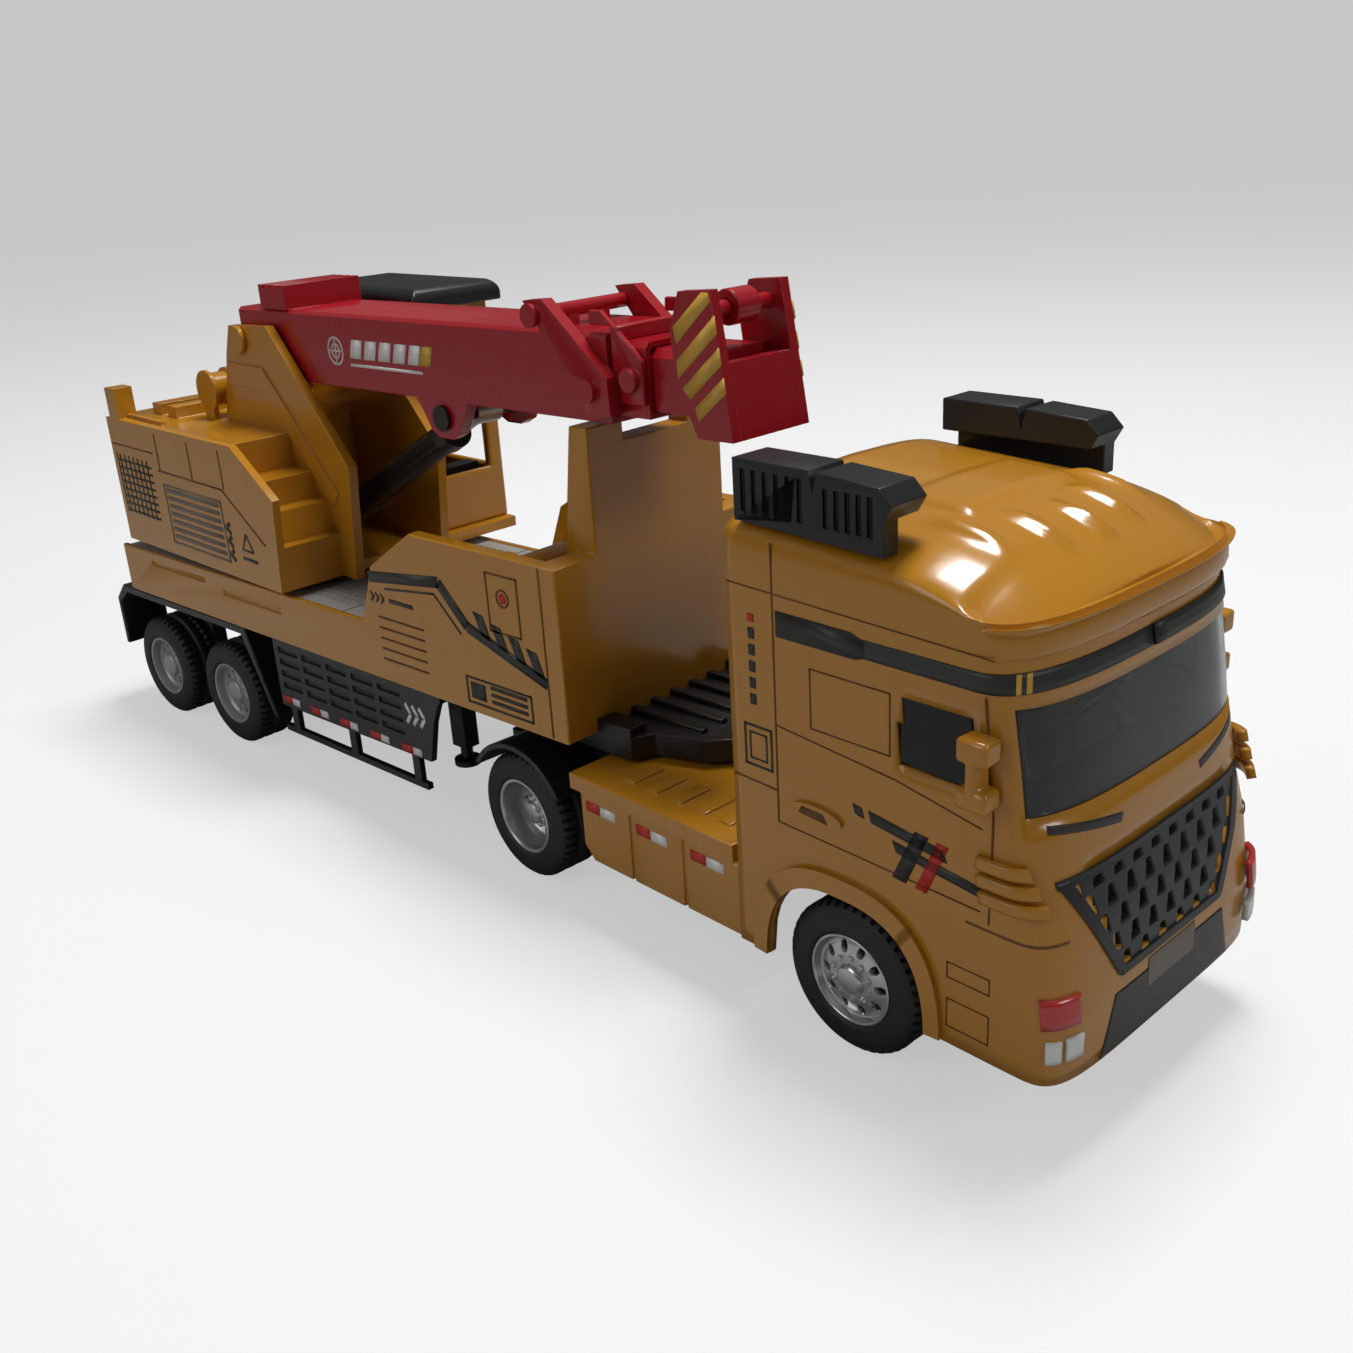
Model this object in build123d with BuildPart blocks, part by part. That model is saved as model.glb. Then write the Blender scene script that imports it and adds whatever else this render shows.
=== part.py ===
"""Toy crane truck at 1:50: tractor, semi-trailer and slewing telescopic crane.

X runs forward, Z up, and the ground is z = 0. The tractor is drawn about its kingpin and
the boom about its level position; each is turned into its rest pose as it is written.
"""
import os
from math import cos, radians, sin

from build123d import *

os.makedirs("parts", exist_ok=True)

# rest pose, with the whole model centred on its own box
kingpin_x = 18.0
hitch_rest = -4.0
slew_x = -76.0
slew_rest = -2.7
pitch_rest = 0.8
shift_x = -0.35
shift_y = 1.21

# fits
run_gap = 0.06
slide_gap = 0.15
turn_gap = 0.2

# wheels
tyre_r = 10.7
tyre_w = 8.8
rim_r = 6.4
axle_r = 1.25
track_out = 22.7
trailer_axles = (-101.1, -74.4)
tractor_rear_x = -1.2
tractor_front_x = 67.4

# trailer
trailer_w = 46.0
trailer_rear = -108.7
trailer_front = 28.9
chassis_z = 27.3
deck_z = 36.6
lip_z = 37.2
plate_t = 0.4
deck_joint = -30.0
panel_z = 55.1
panel_t = 2.6
wall_z = 74.0
wall_w = 28.8
skin = 2.2
frame_w = 26.0
frame_t = 3.4
nose_len = 52.0
frame_front = 3.0

# slew bearing
spindle_r = 6.0
boss_r = 10.4
ring_r = 13.5
house_z = 38.6

# crane house
house_rear = -105.2
house_front = -42.5
house_w = 47.0
house_top = 64.3
cheek_in = 8.7
cheek_t = 1.8
hub_x = -67.6
hub_z = 80.4
hub_pin_r = 1.6
ram_x = -58.7
ram_z = 44.8
ram_pin_r = 1.3
cab_y0 = 11.0
cab_y1 = 30.5
opcab_rear = -77.0
opcab_front = -44.7
opcab_top = 84.0

# boom
boom_w = 16.0
boom_h = 12.6
boom_z = 73.4
boom_rear = -71.0
outer_tip = 33.6
middle_tip = 40.5
inner_tip = 50.0
wall_outer = 0.9
wall_middle = 0.8
wall_inner = 0.8
lug_x = -7.7
lug_z = 70.56
head_z0 = 72.9

# ram
barrel_r = 2.65
rod_r = 1.5
ram_length = 57.5
ram_angle = 27.5
barrel_len = 48.0
eye_w = 5.0

# tractor
tractor_w = 48.2
cab_rear = 49.6
cab_wall = 1.5
glass_inset = 0.35
floor_z = 24.2
rail_in = 5.0
rail_out = 8.0
rail_z0 = 14.5
rail_z1 = 21.0
deck_top = 23.7
fifth_top = 24.1
fairing_in = 17.4
fairing_out = 23.6
nose_z = 24.3
kingpin_r = 2.0

tractor_pose = Pos(kingpin_x, 0, 0) * Rot(0, 0, hitch_rest)
crane_pose = Pos(slew_x, 0, 0) * Rot(0, 0, slew_rest) * Pos(-slew_x, 0, 0)
boom_pose = crane_pose * Pos(hub_x, 0, hub_z) * Rot(0, -pitch_rest, 0) * Pos(-hub_x, 0, -hub_z)
origin_shift = Pos(shift_x, shift_y, 0)


def write(name, builder, pose=Pos(0, 0, 0)):
    piece = origin_shift * pose * builder.part
    piece.label = name
    export_step(piece, f"parts/{name}.step")


def block(x0, x1, y0, y1, z0, z1, mode=Mode.ADD):
    """Box between the given limits."""
    with Locations(((x0 + x1) / 2, (y0 + y1) / 2, (z0 + z1) / 2)):
        Box(x1 - x0, y1 - y0, z1 - z0, mode=mode)


def side_plate(points, y0, y1, mode=Mode.ADD):
    """Polygon in XZ carried from y0 to y1."""
    with BuildSketch(Plane.XZ.offset(-y1)) as profile:
        with BuildLine():
            Polyline(*points, close=True)
        make_face()
    extrude(profile.sketch, amount=y1 - y0, mode=mode)


def both_sides(points, y0, y1, mode=Mode.ADD):
    """The same polygon on both sides of the centre plane."""
    side_plate(points, y0, y1, mode)
    side_plate(points, -y1, -y0, mode)


def front_plate(points, x0, x1, mode=Mode.ADD):
    """Polygon in YZ carried from x0 to x1."""
    with BuildSketch(Plane.YZ.offset(x0)) as profile:
        with BuildLine():
            Polyline(*points, close=True)
        make_face()
    extrude(profile.sketch, amount=x1 - x0, mode=mode)


def floor_plate(points, z0, z1, mode=Mode.ADD):
    """Polygon in XY carried from z0 to z1."""
    with BuildSketch(Plane.XY.offset(z0)) as profile:
        with BuildLine():
            Polyline(*points, close=True)
        make_face()
    extrude(profile.sketch, amount=z1 - z0, mode=mode)


def cross_rod(x, z, radius, y0, y1, mode=Mode.ADD):
    """Cylinder along Y."""
    with BuildSketch(Plane.XZ.offset(-y1)) as profile:
        with Locations((x, z)):
            Circle(radius)
    extrude(profile.sketch, amount=y1 - y0, mode=mode)


def post(x, y, radius, z0, z1, mode=Mode.ADD):
    """Cylinder along Z."""
    with Locations((x, y, (z0 + z1) / 2)):
        Cylinder(radius, z1 - z0, mode=mode)


# trailer -----------------------------------------------------------------
half_w = trailer_w / 2
side_profile = [(-22.7, deck_z - 1), (-17.5, 47.8), (-5.7, panel_z), (trailer_front, panel_z),
                (trailer_front, deck_z - 1)]
wall_foot = trailer_front - 4.4

with BuildPart() as trailer_body:
    block(trailer_rear, trailer_front, -half_w, half_w, chassis_z, deck_z)
    block(trailer_rear, trailer_front, -half_w, -half_w + 1.1, deck_z, lip_z)
    block(trailer_rear, trailer_front, half_w - 1.1, half_w, deck_z, lip_z)
    both_sides(side_profile, half_w - panel_t, half_w)
    block(wall_foot, trailer_front, -half_w, half_w, deck_z, panel_z)
    front_plate([(-wall_w / 2, panel_z), (-wall_w / 2, wall_z), (-7, wall_z), (-7, 71), (7, 71),
                 (7, wall_z), (wall_w / 2, wall_z), (wall_w / 2, panel_z)],
                wall_foot - 2.1, trailer_front)
    side_plate([(wall_foot - 2.2, panel_z), (wall_foot + 0.7, wall_z), (wall_foot - 2.2, wall_z)],
               -half_w, half_w, Mode.SUBTRACT)
    block(wall_foot - 2.1, trailer_front, -wall_w / 2, wall_w / 2, deck_z, panel_z)
    block(trailer_rear + skin, trailer_front - skin, -half_w + skin, half_w - skin,
          chassis_z, deck_z - skin, Mode.SUBTRACT)
    post(slew_x, 0, boss_r, chassis_z, deck_z)
    post(slew_x, 0, ring_r, deck_z, house_z - turn_gap)
    post(slew_x, 0, spindle_r + run_gap, chassis_z - 1, house_z + 1, Mode.SUBTRACT)
    for x0, x1, z in ((-96.9, -75.9, 34.8), (-69.2, -48.9, 33.5)):
        block(x0, x1, -half_w - 1, -half_w + 0.5, z - 0.5, z + 0.5, Mode.SUBTRACT)
        block(x0, x1, half_w - 0.5, half_w + 1, z - 0.5, z + 0.5, Mode.SUBTRACT)
write("trailer_body", trailer_body)

plate_y = half_w - 1.3
plate_front = wall_foot - 2.1 - slide_gap
with BuildPart() as deck_plate:
    block(trailer_rear + 1, plate_front, -plate_y, plate_y, deck_z, deck_z + plate_t)
    block(-24, plate_front + 1, half_w - panel_t - slide_gap, half_w, deck_z, deck_z + plate_t + 1, Mode.SUBTRACT)
    block(-24, plate_front + 1, -half_w, -half_w + panel_t + slide_gap, deck_z, deck_z + plate_t + 1,
          Mode.SUBTRACT)
    post(slew_x, 0, ring_r + slide_gap, deck_z - 1, deck_z + 2, Mode.SUBTRACT)
    block(deck_joint, deck_joint + 0.4, -half_w, half_w, deck_z, deck_z + plate_t + 1, Mode.SUBTRACT)
write("deck_plate", deck_plate)

frame_y = frame_w / 2
frame_z = chassis_z - frame_t
with BuildPart() as trailer_frame:
    block(-112, frame_front, -frame_y, frame_y, frame_z, chassis_z)
    for x in trailer_axles:
        for y in (-10.5, 10.5):
            block(x - 3, x + 3, y - 1.5, y + 1.5, tyre_r - 3, frame_z)
    for x in trailer_axles:
        cross_rod(x, tyre_r, axle_r + run_gap, -frame_y, frame_y, Mode.SUBTRACT)
    block(-114, -112, -frame_y, frame_y, 20, 26.6)
    post(slew_x, 0, boss_r, frame_z - 1, chassis_z + 1, Mode.SUBTRACT)
write("trailer_frame", trailer_frame)

guard_profile = [(-117, 13), (-117, 23.6), (-113, chassis_z), (-64, chassis_z), (-59, 15.5),
                 (-56.6, 10), (-57.8, 10), (-60.2, 15), (-65.6, 25.6), (-112, 25.6), (-115.8, 22.8),
                 (-115.8, 13)]
for side, tag in ((-1, "right"), (1, "left")):
    near, far = sorted((side * frame_y, side * half_w))
    with BuildPart() as wheel_guard:
        side_plate(guard_profile, near, far)
    write(f"wheel_guard_{tag}", wheel_guard)

skirt_t = 1.2
for side, tag in ((-1, "right"), (1, "left")):
    near, far = sorted((side * (half_w - skirt_t), side * half_w))
    top_near, top_far = sorted((side * frame_y, side * half_w))
    with BuildPart() as side_skirt:
        side_plate([(-53.8, chassis_z), (-53.8, 13.6), (-7.3, 14.3), (-5.2, 22.2), (-2.8, chassis_z)],
                   near, far)
        block(-53.8, -2.8, top_near, top_far, chassis_z - 1.2, chassis_z)
        for column in range(5):
            for row in range(4):
                x = -52.2 + 7.9 * column
                z = 17.6 + 2.4 * row
                block(x, x + 6.4, side * half_w - 0.5, side * half_w + 0.5, z, z + 1.1, Mode.SUBTRACT)
        for x in (-50, -31, -12):
            block(x - 1, x + 1, near, far, 8.3, 15)
        block(-53.8, -9.3, near, far, 8.3, 9.5)
    write(f"side_skirt_{tag}", side_skirt)

with BuildPart() as landing_legs:
    for y in (-11.5, 11.5):
        block(-14.4, -10.6, y - 1.5, y + 1.5, 12, frame_z)
        post(-12.5, y, 1.1, 9.4, 12)
        post(-12.5, y, 2.4, 8.4, 9.4)
    cross_rod(-12.5, 19, 0.7, -10.5, 10.5)
write("landing_legs", landing_legs)

with BuildPart() as coupling_nose:
    block(frame_front, trailer_front, -17, 17, nose_z, chassis_z)
    floor_plate([(trailer_front, -17), (36, -17), (37.5, -13.2), (46, -10.5), (50.5, -6), (nose_len, 0),
                 (50.5, 6), (46, 10.5), (37.5, 13.2), (36, 17), (trailer_front, 17)], nose_z, 28)
    block(trailer_front, 36, -17, -13.2, 28, 29.6)
    block(trailer_front, 36, 13.2, 17, 28, 29.6)
    for y in (-9, -4.5, 0, 4.5, 9):
        block(trailer_front, 44, y - 0.7, y + 0.7, 28, 29)
    post(kingpin_x, 0, kingpin_r, nose_z - 1, chassis_z + 1, Mode.SUBTRACT)
write("coupling_nose", coupling_nose)

with BuildPart() as kingpin:
    post(kingpin_x, 0, kingpin_r, 19.4, chassis_z)
    post(kingpin_x, 0, 3.2, 19.4, 20.8)
write("kingpin", kingpin)

drum_x = 15.5
drum_z = 50.5
drum_y = half_w - panel_t
with BuildPart() as winch_drum:
    cross_rod(drum_x, drum_z, 3.0, -drum_y, drum_y)
    for y in (-drum_y, -6, 4.5, drum_y - 1.5):
        cross_rod(drum_x, drum_z, 4.2, y, y + 1.5)
write("winch_drum", winch_drum)

with BuildPart() as trailer_screws:
    for x in (-90, -40, -20):
        for y in (-7, 7):
            post(x, y, 1.6, frame_z - 0.9, frame_z)
write("trailer_screws", trailer_screws)


# wheels ------------------------------------------------------------------
def make_axle(name, x, pose):
    with BuildPart() as axle:
        cross_rod(x, tyre_r, axle_r, -track_out + 2, track_out - 2)
    write(name, axle, pose)


def make_rims(name, x, hub_out, dish_in, pose):
    """Rim pair: barrel, web at dish_in from the outer face, and hub."""
    with BuildPart() as rims:
        for side in (-1, 1):
            inner, outer = sorted((side * (track_out - tyre_w), side * track_out))
            cross_rod(x, tyre_r, rim_r, inner, outer)
            face, lip = sorted((side * (track_out - dish_in), side * (track_out + 1)))
            cross_rod(x, tyre_r, rim_r - 0.8, face, lip, Mode.SUBTRACT)
            back, edge = sorted((side * (track_out - tyre_w - 1), side * (track_out - dish_in - 1.4)))
            cross_rod(x, tyre_r, rim_r - 0.8, back, edge, Mode.SUBTRACT)
            root, cap = sorted((side * (track_out - tyre_w), side * (track_out - dish_in + hub_out)))
            cross_rod(x, tyre_r, 2.3, root, cap)
        cross_rod(x, tyre_r, axle_r, -track_out + 2, track_out - 2, Mode.SUBTRACT)
    write(name, rims, pose)


def make_tyres(name, x, pose):
    with BuildPart() as tyres:
        for side in (-1, 1):
            inner, outer = sorted((side * (track_out - tyre_w), side * track_out))
            cross_rod(x, tyre_r, tyre_r, inner, outer)
        chamfer(tyres.edges().filter_by(GeomType.CIRCLE), 0.9)
        for side in (-1, 1):
            inner, outer = sorted((side * (track_out - tyre_w), side * track_out))
            cross_rod(x, tyre_r, rim_r, inner, outer, Mode.SUBTRACT)
    write(name, tyres, pose)


wheelsets = (("trailer_rear", trailer_axles[0], Pos(0, 0, 0), 1.2, 2.6),
             ("trailer_mid", trailer_axles[1], Pos(0, 0, 0), 1.2, 2.6),
             ("drive", tractor_rear_x, tractor_pose, 3.4, 4.8),
             ("steer", tractor_front_x, tractor_pose, 1.2, 1.6))
for tag, axle_x, pose, hub_out, dish_in in wheelsets:
    make_axle(f"{tag}_axle", axle_x, pose)
    make_rims(f"{tag}_rims", axle_x, hub_out, dish_in, pose)
    make_tyres(f"{tag}_tyres", axle_x, pose)

# tractor chassis ---------------------------------------------------------
deck_y = tractor_w / 2 - 0.5
with BuildPart() as tractor_frame:
    for y0, y1 in ((-rail_out, -rail_in), (rail_in, rail_out)):
        block(-14, 92, y0, y1, rail_z0, rail_z1)
        for x in (tractor_rear_x, tractor_front_x):
            block(x - 3, x + 3, y0, y1, tyre_r - 2.6, rail_z0)
        for x in (55, 87):
            block(x - 3, x + 3, y0, y1, rail_z1, floor_z)
    for x in (-12, 20, 50, 80):
        block(x - 1.5, x + 1.5, -rail_in, rail_in, rail_z0, rail_z1)
    for x in (tractor_rear_x, tractor_front_x):
        cross_rod(x, tyre_r, axle_r + run_gap, -10, 10, Mode.SUBTRACT)
write("tractor_frame", tractor_frame, tractor_pose)

with BuildPart() as fifth_wheel:
    floor_plate([(-11, -6), (-8, -11), (8, -11), (12, -8), (12, 8), (8, 11), (-8, 11), (-11, 6)],
                rail_z1, fifth_top)
    post(0, 0, kingpin_r + run_gap, rail_z1 - 1, fifth_top + 1, Mode.SUBTRACT)
write("fifth_wheel", fifth_wheel, tractor_pose)

with BuildPart() as tractor_deck:
    block(13.4, cab_rear - 1.5, -deck_y, deck_y, rail_z1, deck_top)
    both_sides([(15.9, rail_z1), (15.9, 12.4), (18, 10.2), (cab_rear - 0.4, 10.2), (cab_rear - 0.4, rail_z1)],
               deck_y - 1.4, deck_y)
    for x in (26.8, 38):
        block(x, x + 0.6, -deck_y - 1, -deck_y + 0.4, 10, rail_z1, Mode.SUBTRACT)
        block(x, x + 0.6, deck_y - 0.4, deck_y + 1, 10, rail_z1, Mode.SUBTRACT)
    for y in (-17, 17):
        for x in (22, 27, 32, 37, 42):
            block(x, x + 2.4, y - 3, y + 3, deck_top, nose_z - 0.15)
write("tractor_deck", tractor_deck, tractor_pose)

for side, tag in ((-1, "right"), (1, "left")):
    near, far = sorted((side * (track_out - tyre_w - 1.2), side * (track_out + 0.7)))
    web_near, web_far = sorted((side * rail_out, side * (track_out - tyre_w - 1.2)))
    with BuildPart() as mudguard:
        cross_rod(tractor_rear_x, tyre_r, 12.9, near, far)
        cross_rod(tractor_rear_x, tyre_r, 11.9, -30, 30, Mode.SUBTRACT)
        block(-30, 30, -30, 30, -5, 17.5, Mode.SUBTRACT)
        near_tab, far_tab = sorted((side * rail_out, side * (track_out - tyre_w)))
        block(11.2, 13.3, near_tab, far_tab, 17.5, rail_z1 - 1.2)
        block(-14.2, -11.9, near_tab, far_tab, 17.5, rail_z1 - 1.2)
        cross_rod(tractor_rear_x, tyre_r, 11.9, -30, 30, Mode.SUBTRACT)
    write(f"mudguard_{tag}", mudguard, tractor_pose)

# cab ---------------------------------------------------------------------
cab_side = [(cab_rear, 10.7), (cab_rear, 68.4), (79.6, 67.2), (86, 67), (91.7, 64.7), (93.4, 61.3),
            (92.3, 59.8), (94.2, 54.5), (96, 42.5), (96.4, 34.3), (99.1, 20), (99.1, 10), (90.4, 10)]
cab_plan = [(cab_rear, -24.1), (90.8, -24.1), (94.6, -22.8), (97.9, -19.1), (98.9, -15), (99.1, 0),
            (98.9, 15), (97.9, 19.1), (94.6, 22.8), (90.8, 24.1), (cab_rear, 24.1)]


def cab_solid(inset):
    """Side profile and plan crossed, both drawn in by the inset."""
    with BuildPart() as solid:
        with BuildSketch(Plane.XZ.offset(-30)) as side_view:
            with BuildLine():
                Polyline(*cab_side, close=True)
            make_face()
            if inset:
                offset(amount=-inset, kind=Kind.INTERSECTION, mode=Mode.REPLACE)
        extrude(amount=60)
        with BuildSketch(Plane.XY) as plan_view:
            with BuildLine():
                Polyline(*cab_plan, close=True)
            make_face()
            if inset:
                offset(amount=-inset, kind=Kind.INTERSECTION, mode=Mode.REPLACE)
        extrude(amount=100, mode=Mode.INTERSECT)
    return solid.part


cab_outer = cab_solid(0)
cab_inner = cab_solid(cab_wall)
pane_outer = cab_solid(glass_inset)
grille_outline = [(-19.6, 34.3), (19.6, 34.3), (17, 25.9), (10.5, 21), (-10.5, 21), (-17, 25.9)]
lower_outline = [(-15.1, 9), (-15.1, 12.5), (-13.2, 17.9), (13.2, 17.9), (15.1, 12.5), (15.1, 9)]
screen_outline = [(-21.6, 42.5), (21.6, 42.5), (20.8, 54.8), (-20.8, 54.8)]
front_window = [(76.6, 45.1), (87.4, 44), (86, 53.2), (76.6, 53.2)]


def screen_region(mode=Mode.ADD):
    front_plate(screen_outline, 88, 105, mode)


def window_region(mode=Mode.ADD):
    both_sides(front_window, 21, 30, mode)


def lamp_region(mode=Mode.ADD):
    for y0, y1 in ((-22.9, -17.3), (17.3, 22.9)):
        block(94, 100, y0, y1, 14.2, 17.6, mode)


def marker_region(mode=Mode.ADD):
    for y0, y1 in ((-25, -19.6), (19.6, 25)):
        block(90, 100, y0, y1, 18.2, 22, mode)


with BuildPart() as cab_shell:
    add(cab_outer)
    add(cab_inner, mode=Mode.SUBTRACT)
    block(cab_rear + cab_wall, 94, -22.6, 22.6, floor_z, floor_z + 1.6)
    screen_region(Mode.SUBTRACT)
    window_region(Mode.SUBTRACT)
    lamp_region(Mode.SUBTRACT)
    marker_region(Mode.SUBTRACT)
    front_plate(grille_outline, 90, 105, Mode.SUBTRACT)
    front_plate(lower_outline, 90, 105, Mode.SUBTRACT)
    both_sides([(54.5, 9), (54.5, 15), (58.5, 22.4), (63, 24.15), (72, 24.15), (77.5, 20.8), (80.6, 14),
                (80.6, 9)], 12, 30, Mode.SUBTRACT)
    block(cab_rear - 1, 90, -22, 22, 9, rail_z1 + 0.3, Mode.SUBTRACT)
    floor_plate([(cab_rear + 1.4, -21), (77, -21), (86, -18), (86, 18), (77, 21), (cab_rear + 1.4, 21)],
                67, 71.2)
    floor_plate([(cab_rear + 1.4, -21), (74, -21), (76, -12.4), (76, 12.4), (74, 21), (cab_rear + 1.4, 21)],
                71.2, 72.6)
    block(cab_rear + cab_wall, 84, -20, 20, 64, 69.6, Mode.SUBTRACT)
write("cab_shell", cab_shell, tractor_pose)


def cab_insert(name, region):
    """Piece of the cab skin that fills an opening, a little inside the outer face."""
    with BuildPart() as insert:
        region()
        add(pane_outer, mode=Mode.INTERSECT)
        add(cab_inner, mode=Mode.SUBTRACT)
    write(name, insert, tractor_pose)


cab_insert("windscreen", screen_region)
cab_insert("side_windows", window_region)
cab_insert("headlamps", lamp_region)
cab_insert("marker_lamps", marker_region)
cab_insert("grille", lambda: front_plate(grille_outline, 90, 105))
cab_insert("lower_grille", lambda: front_plate(lower_outline, 90, 105))

with BuildPart() as cab_interior:
    for y in (-10.5, 10.5):
        block(60, 72, y - 6, y + 6, floor_z + 1.6, 33)
        side_plate([(58, 32), (63, 32), (60.5, 52), (57.5, 52)], y - 6, y + 6)
        block(57.4, 60.4, y - 3, y + 3, 51, 57)
    block(84, 92, -20, 20, floor_z + 1.6, 38)
    side_plate([(84, 38), (92, 38), (91, 41), (86, 41)], -20, 20)
    with BuildSketch(Plane((81.5, 10.5, 43), x_dir=(0, 1, 0), z_dir=(-0.75, 0, 0.66))) as wheel_ring:
        Circle(4.8)
        Circle(4, mode=Mode.SUBTRACT)
        Rectangle(9, 1)
    extrude(wheel_ring.sketch, amount=0.9)
    side_plate([(81.6, 42.4), (82.4, 44), (87, 39), (86, 37.5)], 9.8, 11.2)
write("cab_interior", cab_interior, tractor_pose)

with BuildPart() as cab_back_panel:
    block(cab_rear - 1.2, cab_rear, -20, 20, 24.6, 66)
    for z in (34, 44, 54):
        block(cab_rear - 1.3, cab_rear - 0.8, -16, 16, z, z + 1, Mode.SUBTRACT)
write("cab_back_panel", cab_back_panel, tractor_pose)

for side, tag in ((-1, "right"), (1, "left")):
    near, far = sorted((side * fairing_in, side * fairing_out))
    with BuildPart() as roof_fairing:
        side_plate([(51.2, 72.6), (51.2, 77), (63.2, 77), (63.8, 74.6), (64.4, 76.9), (73.4, 76.4),
                    (75.2, 74.6), (74, 72.6)], near, far)
        edge_near, edge_far = sorted((side * 21, side * fairing_out))
        side_plate([(51.2, 69.4), (51.2, 73), (74, 73), (74, 68.6)], edge_near, edge_far)
        for slot in range(6):
            x = 52.4 + 1.8 * slot
            block(x, x + 0.8, side * fairing_out - 0.5, side * fairing_out + 0.5, 70.6, 75.8, Mode.SUBTRACT)
        for slot in range(5):
            x = 65.3 + 1.6 * slot
            block(x, x + 0.8, side * fairing_out - 0.5, side * fairing_out + 0.5, 70.6, 75.2, Mode.SUBTRACT)
    write(f"roof_fairing_{tag}", roof_fairing, tractor_pose)

for side, tag in ((-1, "right"), (1, "left")):
    near, far = sorted((side * 24.1, side * 27.2))
    with BuildPart() as mirror:
        block(86.4, 90.4, near, far, 43.8, 46.3)
        block(86.4, 90.4, near, far, 49.3, 52.2)
        block(87.6, 89, near, far, 46.3, 49.3)
    write(f"mirror_{tag}", mirror, tractor_pose)

# crane house -------------------------------------------------------------
house_y = house_w / 2
cheek_out = cheek_in + cheek_t
cheek_profile = [(-77.9, house_z), (-77.9, 65.8), (-74, 77.3), (-71.3, 82.8), (-57.3, 83.4), (-35.3, 60),
                 (-38, house_z)]
with BuildPart() as crane_house:
    side_plate([(house_rear, house_z), (house_rear, house_top), (-53.2, house_top), (-40.4, 56),
                (house_front, house_z)], -house_y, cab_y0)
    block(house_rear, opcab_rear, cab_y0, house_y, house_z, house_top)
    block(opcab_rear, house_front, cab_y0, cab_y1, house_z, house_z + 2)
    block(-54, -30, -house_y + 1.5, -cheek_out, 58, 70, Mode.SUBTRACT)
    block(-47.5, -30, -house_y + 1.5, -cheek_out, 53, 70, Mode.SUBTRACT)
    block(house_front - 1.4, -30, -house_y + 1.5, -cheek_out, 47, 70, Mode.SUBTRACT)
    block(-64, -30, -cheek_in, cheek_in, 40.6, 70, Mode.SUBTRACT)
    both_sides(cheek_profile, cheek_in, cheek_out)
    both_sides([(-73.7, 75.8), (-60.4, 75.7), (-39.5, 54.8), (-42, 52), (-62, 71.5), (-74.6, 71.5)],
               cheek_out, cheek_out + 0.4)
    block(house_rear + 2, house_rear + 6, -house_y, -house_y + 4, house_top, 70.4)
    for x in (-99, -92.5):
        block(x, x + 4, -16, 16, house_top, house_top + 2.2)
    block(house_rear, -84, -house_y + 2, -house_y + 2.8, house_top, house_top + 0.8)
    post(slew_x, 0, spindle_r, chassis_z - turn_gap, house_z)
    post(slew_x, 0, 1.2, chassis_z - 1, chassis_z + 8, Mode.SUBTRACT)
    cross_rod(hub_x, hub_z, hub_pin_r, -20, 20, Mode.SUBTRACT)
    cross_rod(ram_x, ram_z, ram_pin_r, -cheek_out, cheek_out, Mode.SUBTRACT)
write("crane_house", crane_house, crane_pose)

with BuildPart() as operator_cab:
    block(opcab_rear, opcab_front, cab_y0, cab_y1, house_z + 2, opcab_top)
    block(opcab_rear + 1.6, opcab_front - 1.6, cab_y0 + 1.6, cab_y1 - 1.6, house_z + 3.6, opcab_top + 1,
          Mode.SUBTRACT)
    block(opcab_front - 2, opcab_front + 1, cab_y0 + 4, cab_y1 - 3, 51.3, 80.6, Mode.SUBTRACT)
    block(opcab_rear + 14, opcab_front - 4, cab_y1 - 2, cab_y1 + 1, 51.3, 80.6, Mode.SUBTRACT)
    block(opcab_rear + 3, opcab_rear + 11, cab_y1 - 2, cab_y1 + 1, 58, 80.6, Mode.SUBTRACT)
    block(opcab_rear - 1, opcab_rear + 2, cab_y0 + 4, cab_y1 - 4, 66.5, 80.6, Mode.SUBTRACT)
    block(-66, opcab_front - 4, cab_y0 - 1, cab_y0 + 2, 62, 80.6, Mode.SUBTRACT)
write("operator_cab", operator_cab, crane_pose)

with BuildPart() as operator_seat:
    block(-70, -60, 16, 26, house_z + 3.6, 50)
    side_plate([(-71.5, 49), (-67.5, 49), (-69.5, 66), (-72.5, 66)], 16, 26)
    block(-52, -48.5, 15, 27, house_z + 3.6, 52)
write("operator_seat", operator_seat, crane_pose)

with BuildPart() as operator_cab_roof:
    block(opcab_rear, -40.5, cab_y0 - 0.2, cab_y1 + 0.5, opcab_top, opcab_top + 4)
    fillet(operator_cab_roof.faces().sort_by(Axis.Z)[-1].edges(), 2.6)
write("operator_cab_roof", operator_cab_roof, crane_pose)

with BuildPart() as hoist_winch:
    cross_rod(-81.4, 69.9, 3.2, -12.4, 9.6)
    for y in (-12.4, -8, -3.6, 0.8, 5.2, 8.8):
        cross_rod(-81.4, 69.9, 3.9, y, y + 0.8)
    block(-83.2, -79.6, -12.4, -11.2, house_top, 69.9)
    block(-83.2, -79.6, 8.4, 9.6, house_top, 69.9)
write("hoist_winch", hoist_winch, crane_pose)

with BuildPart() as slew_retainer:
    post(slew_x, 0, spindle_r + 3, chassis_z - turn_gap - 1.2, chassis_z - turn_gap)
    post(slew_x, 0, 1.2, chassis_z - turn_gap - 1.2, chassis_z + 6)
    post(slew_x, 0, 2.6, chassis_z - turn_gap - 2.8, chassis_z - turn_gap - 1.2)
write("slew_retainer", slew_retainer, crane_pose)

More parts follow.
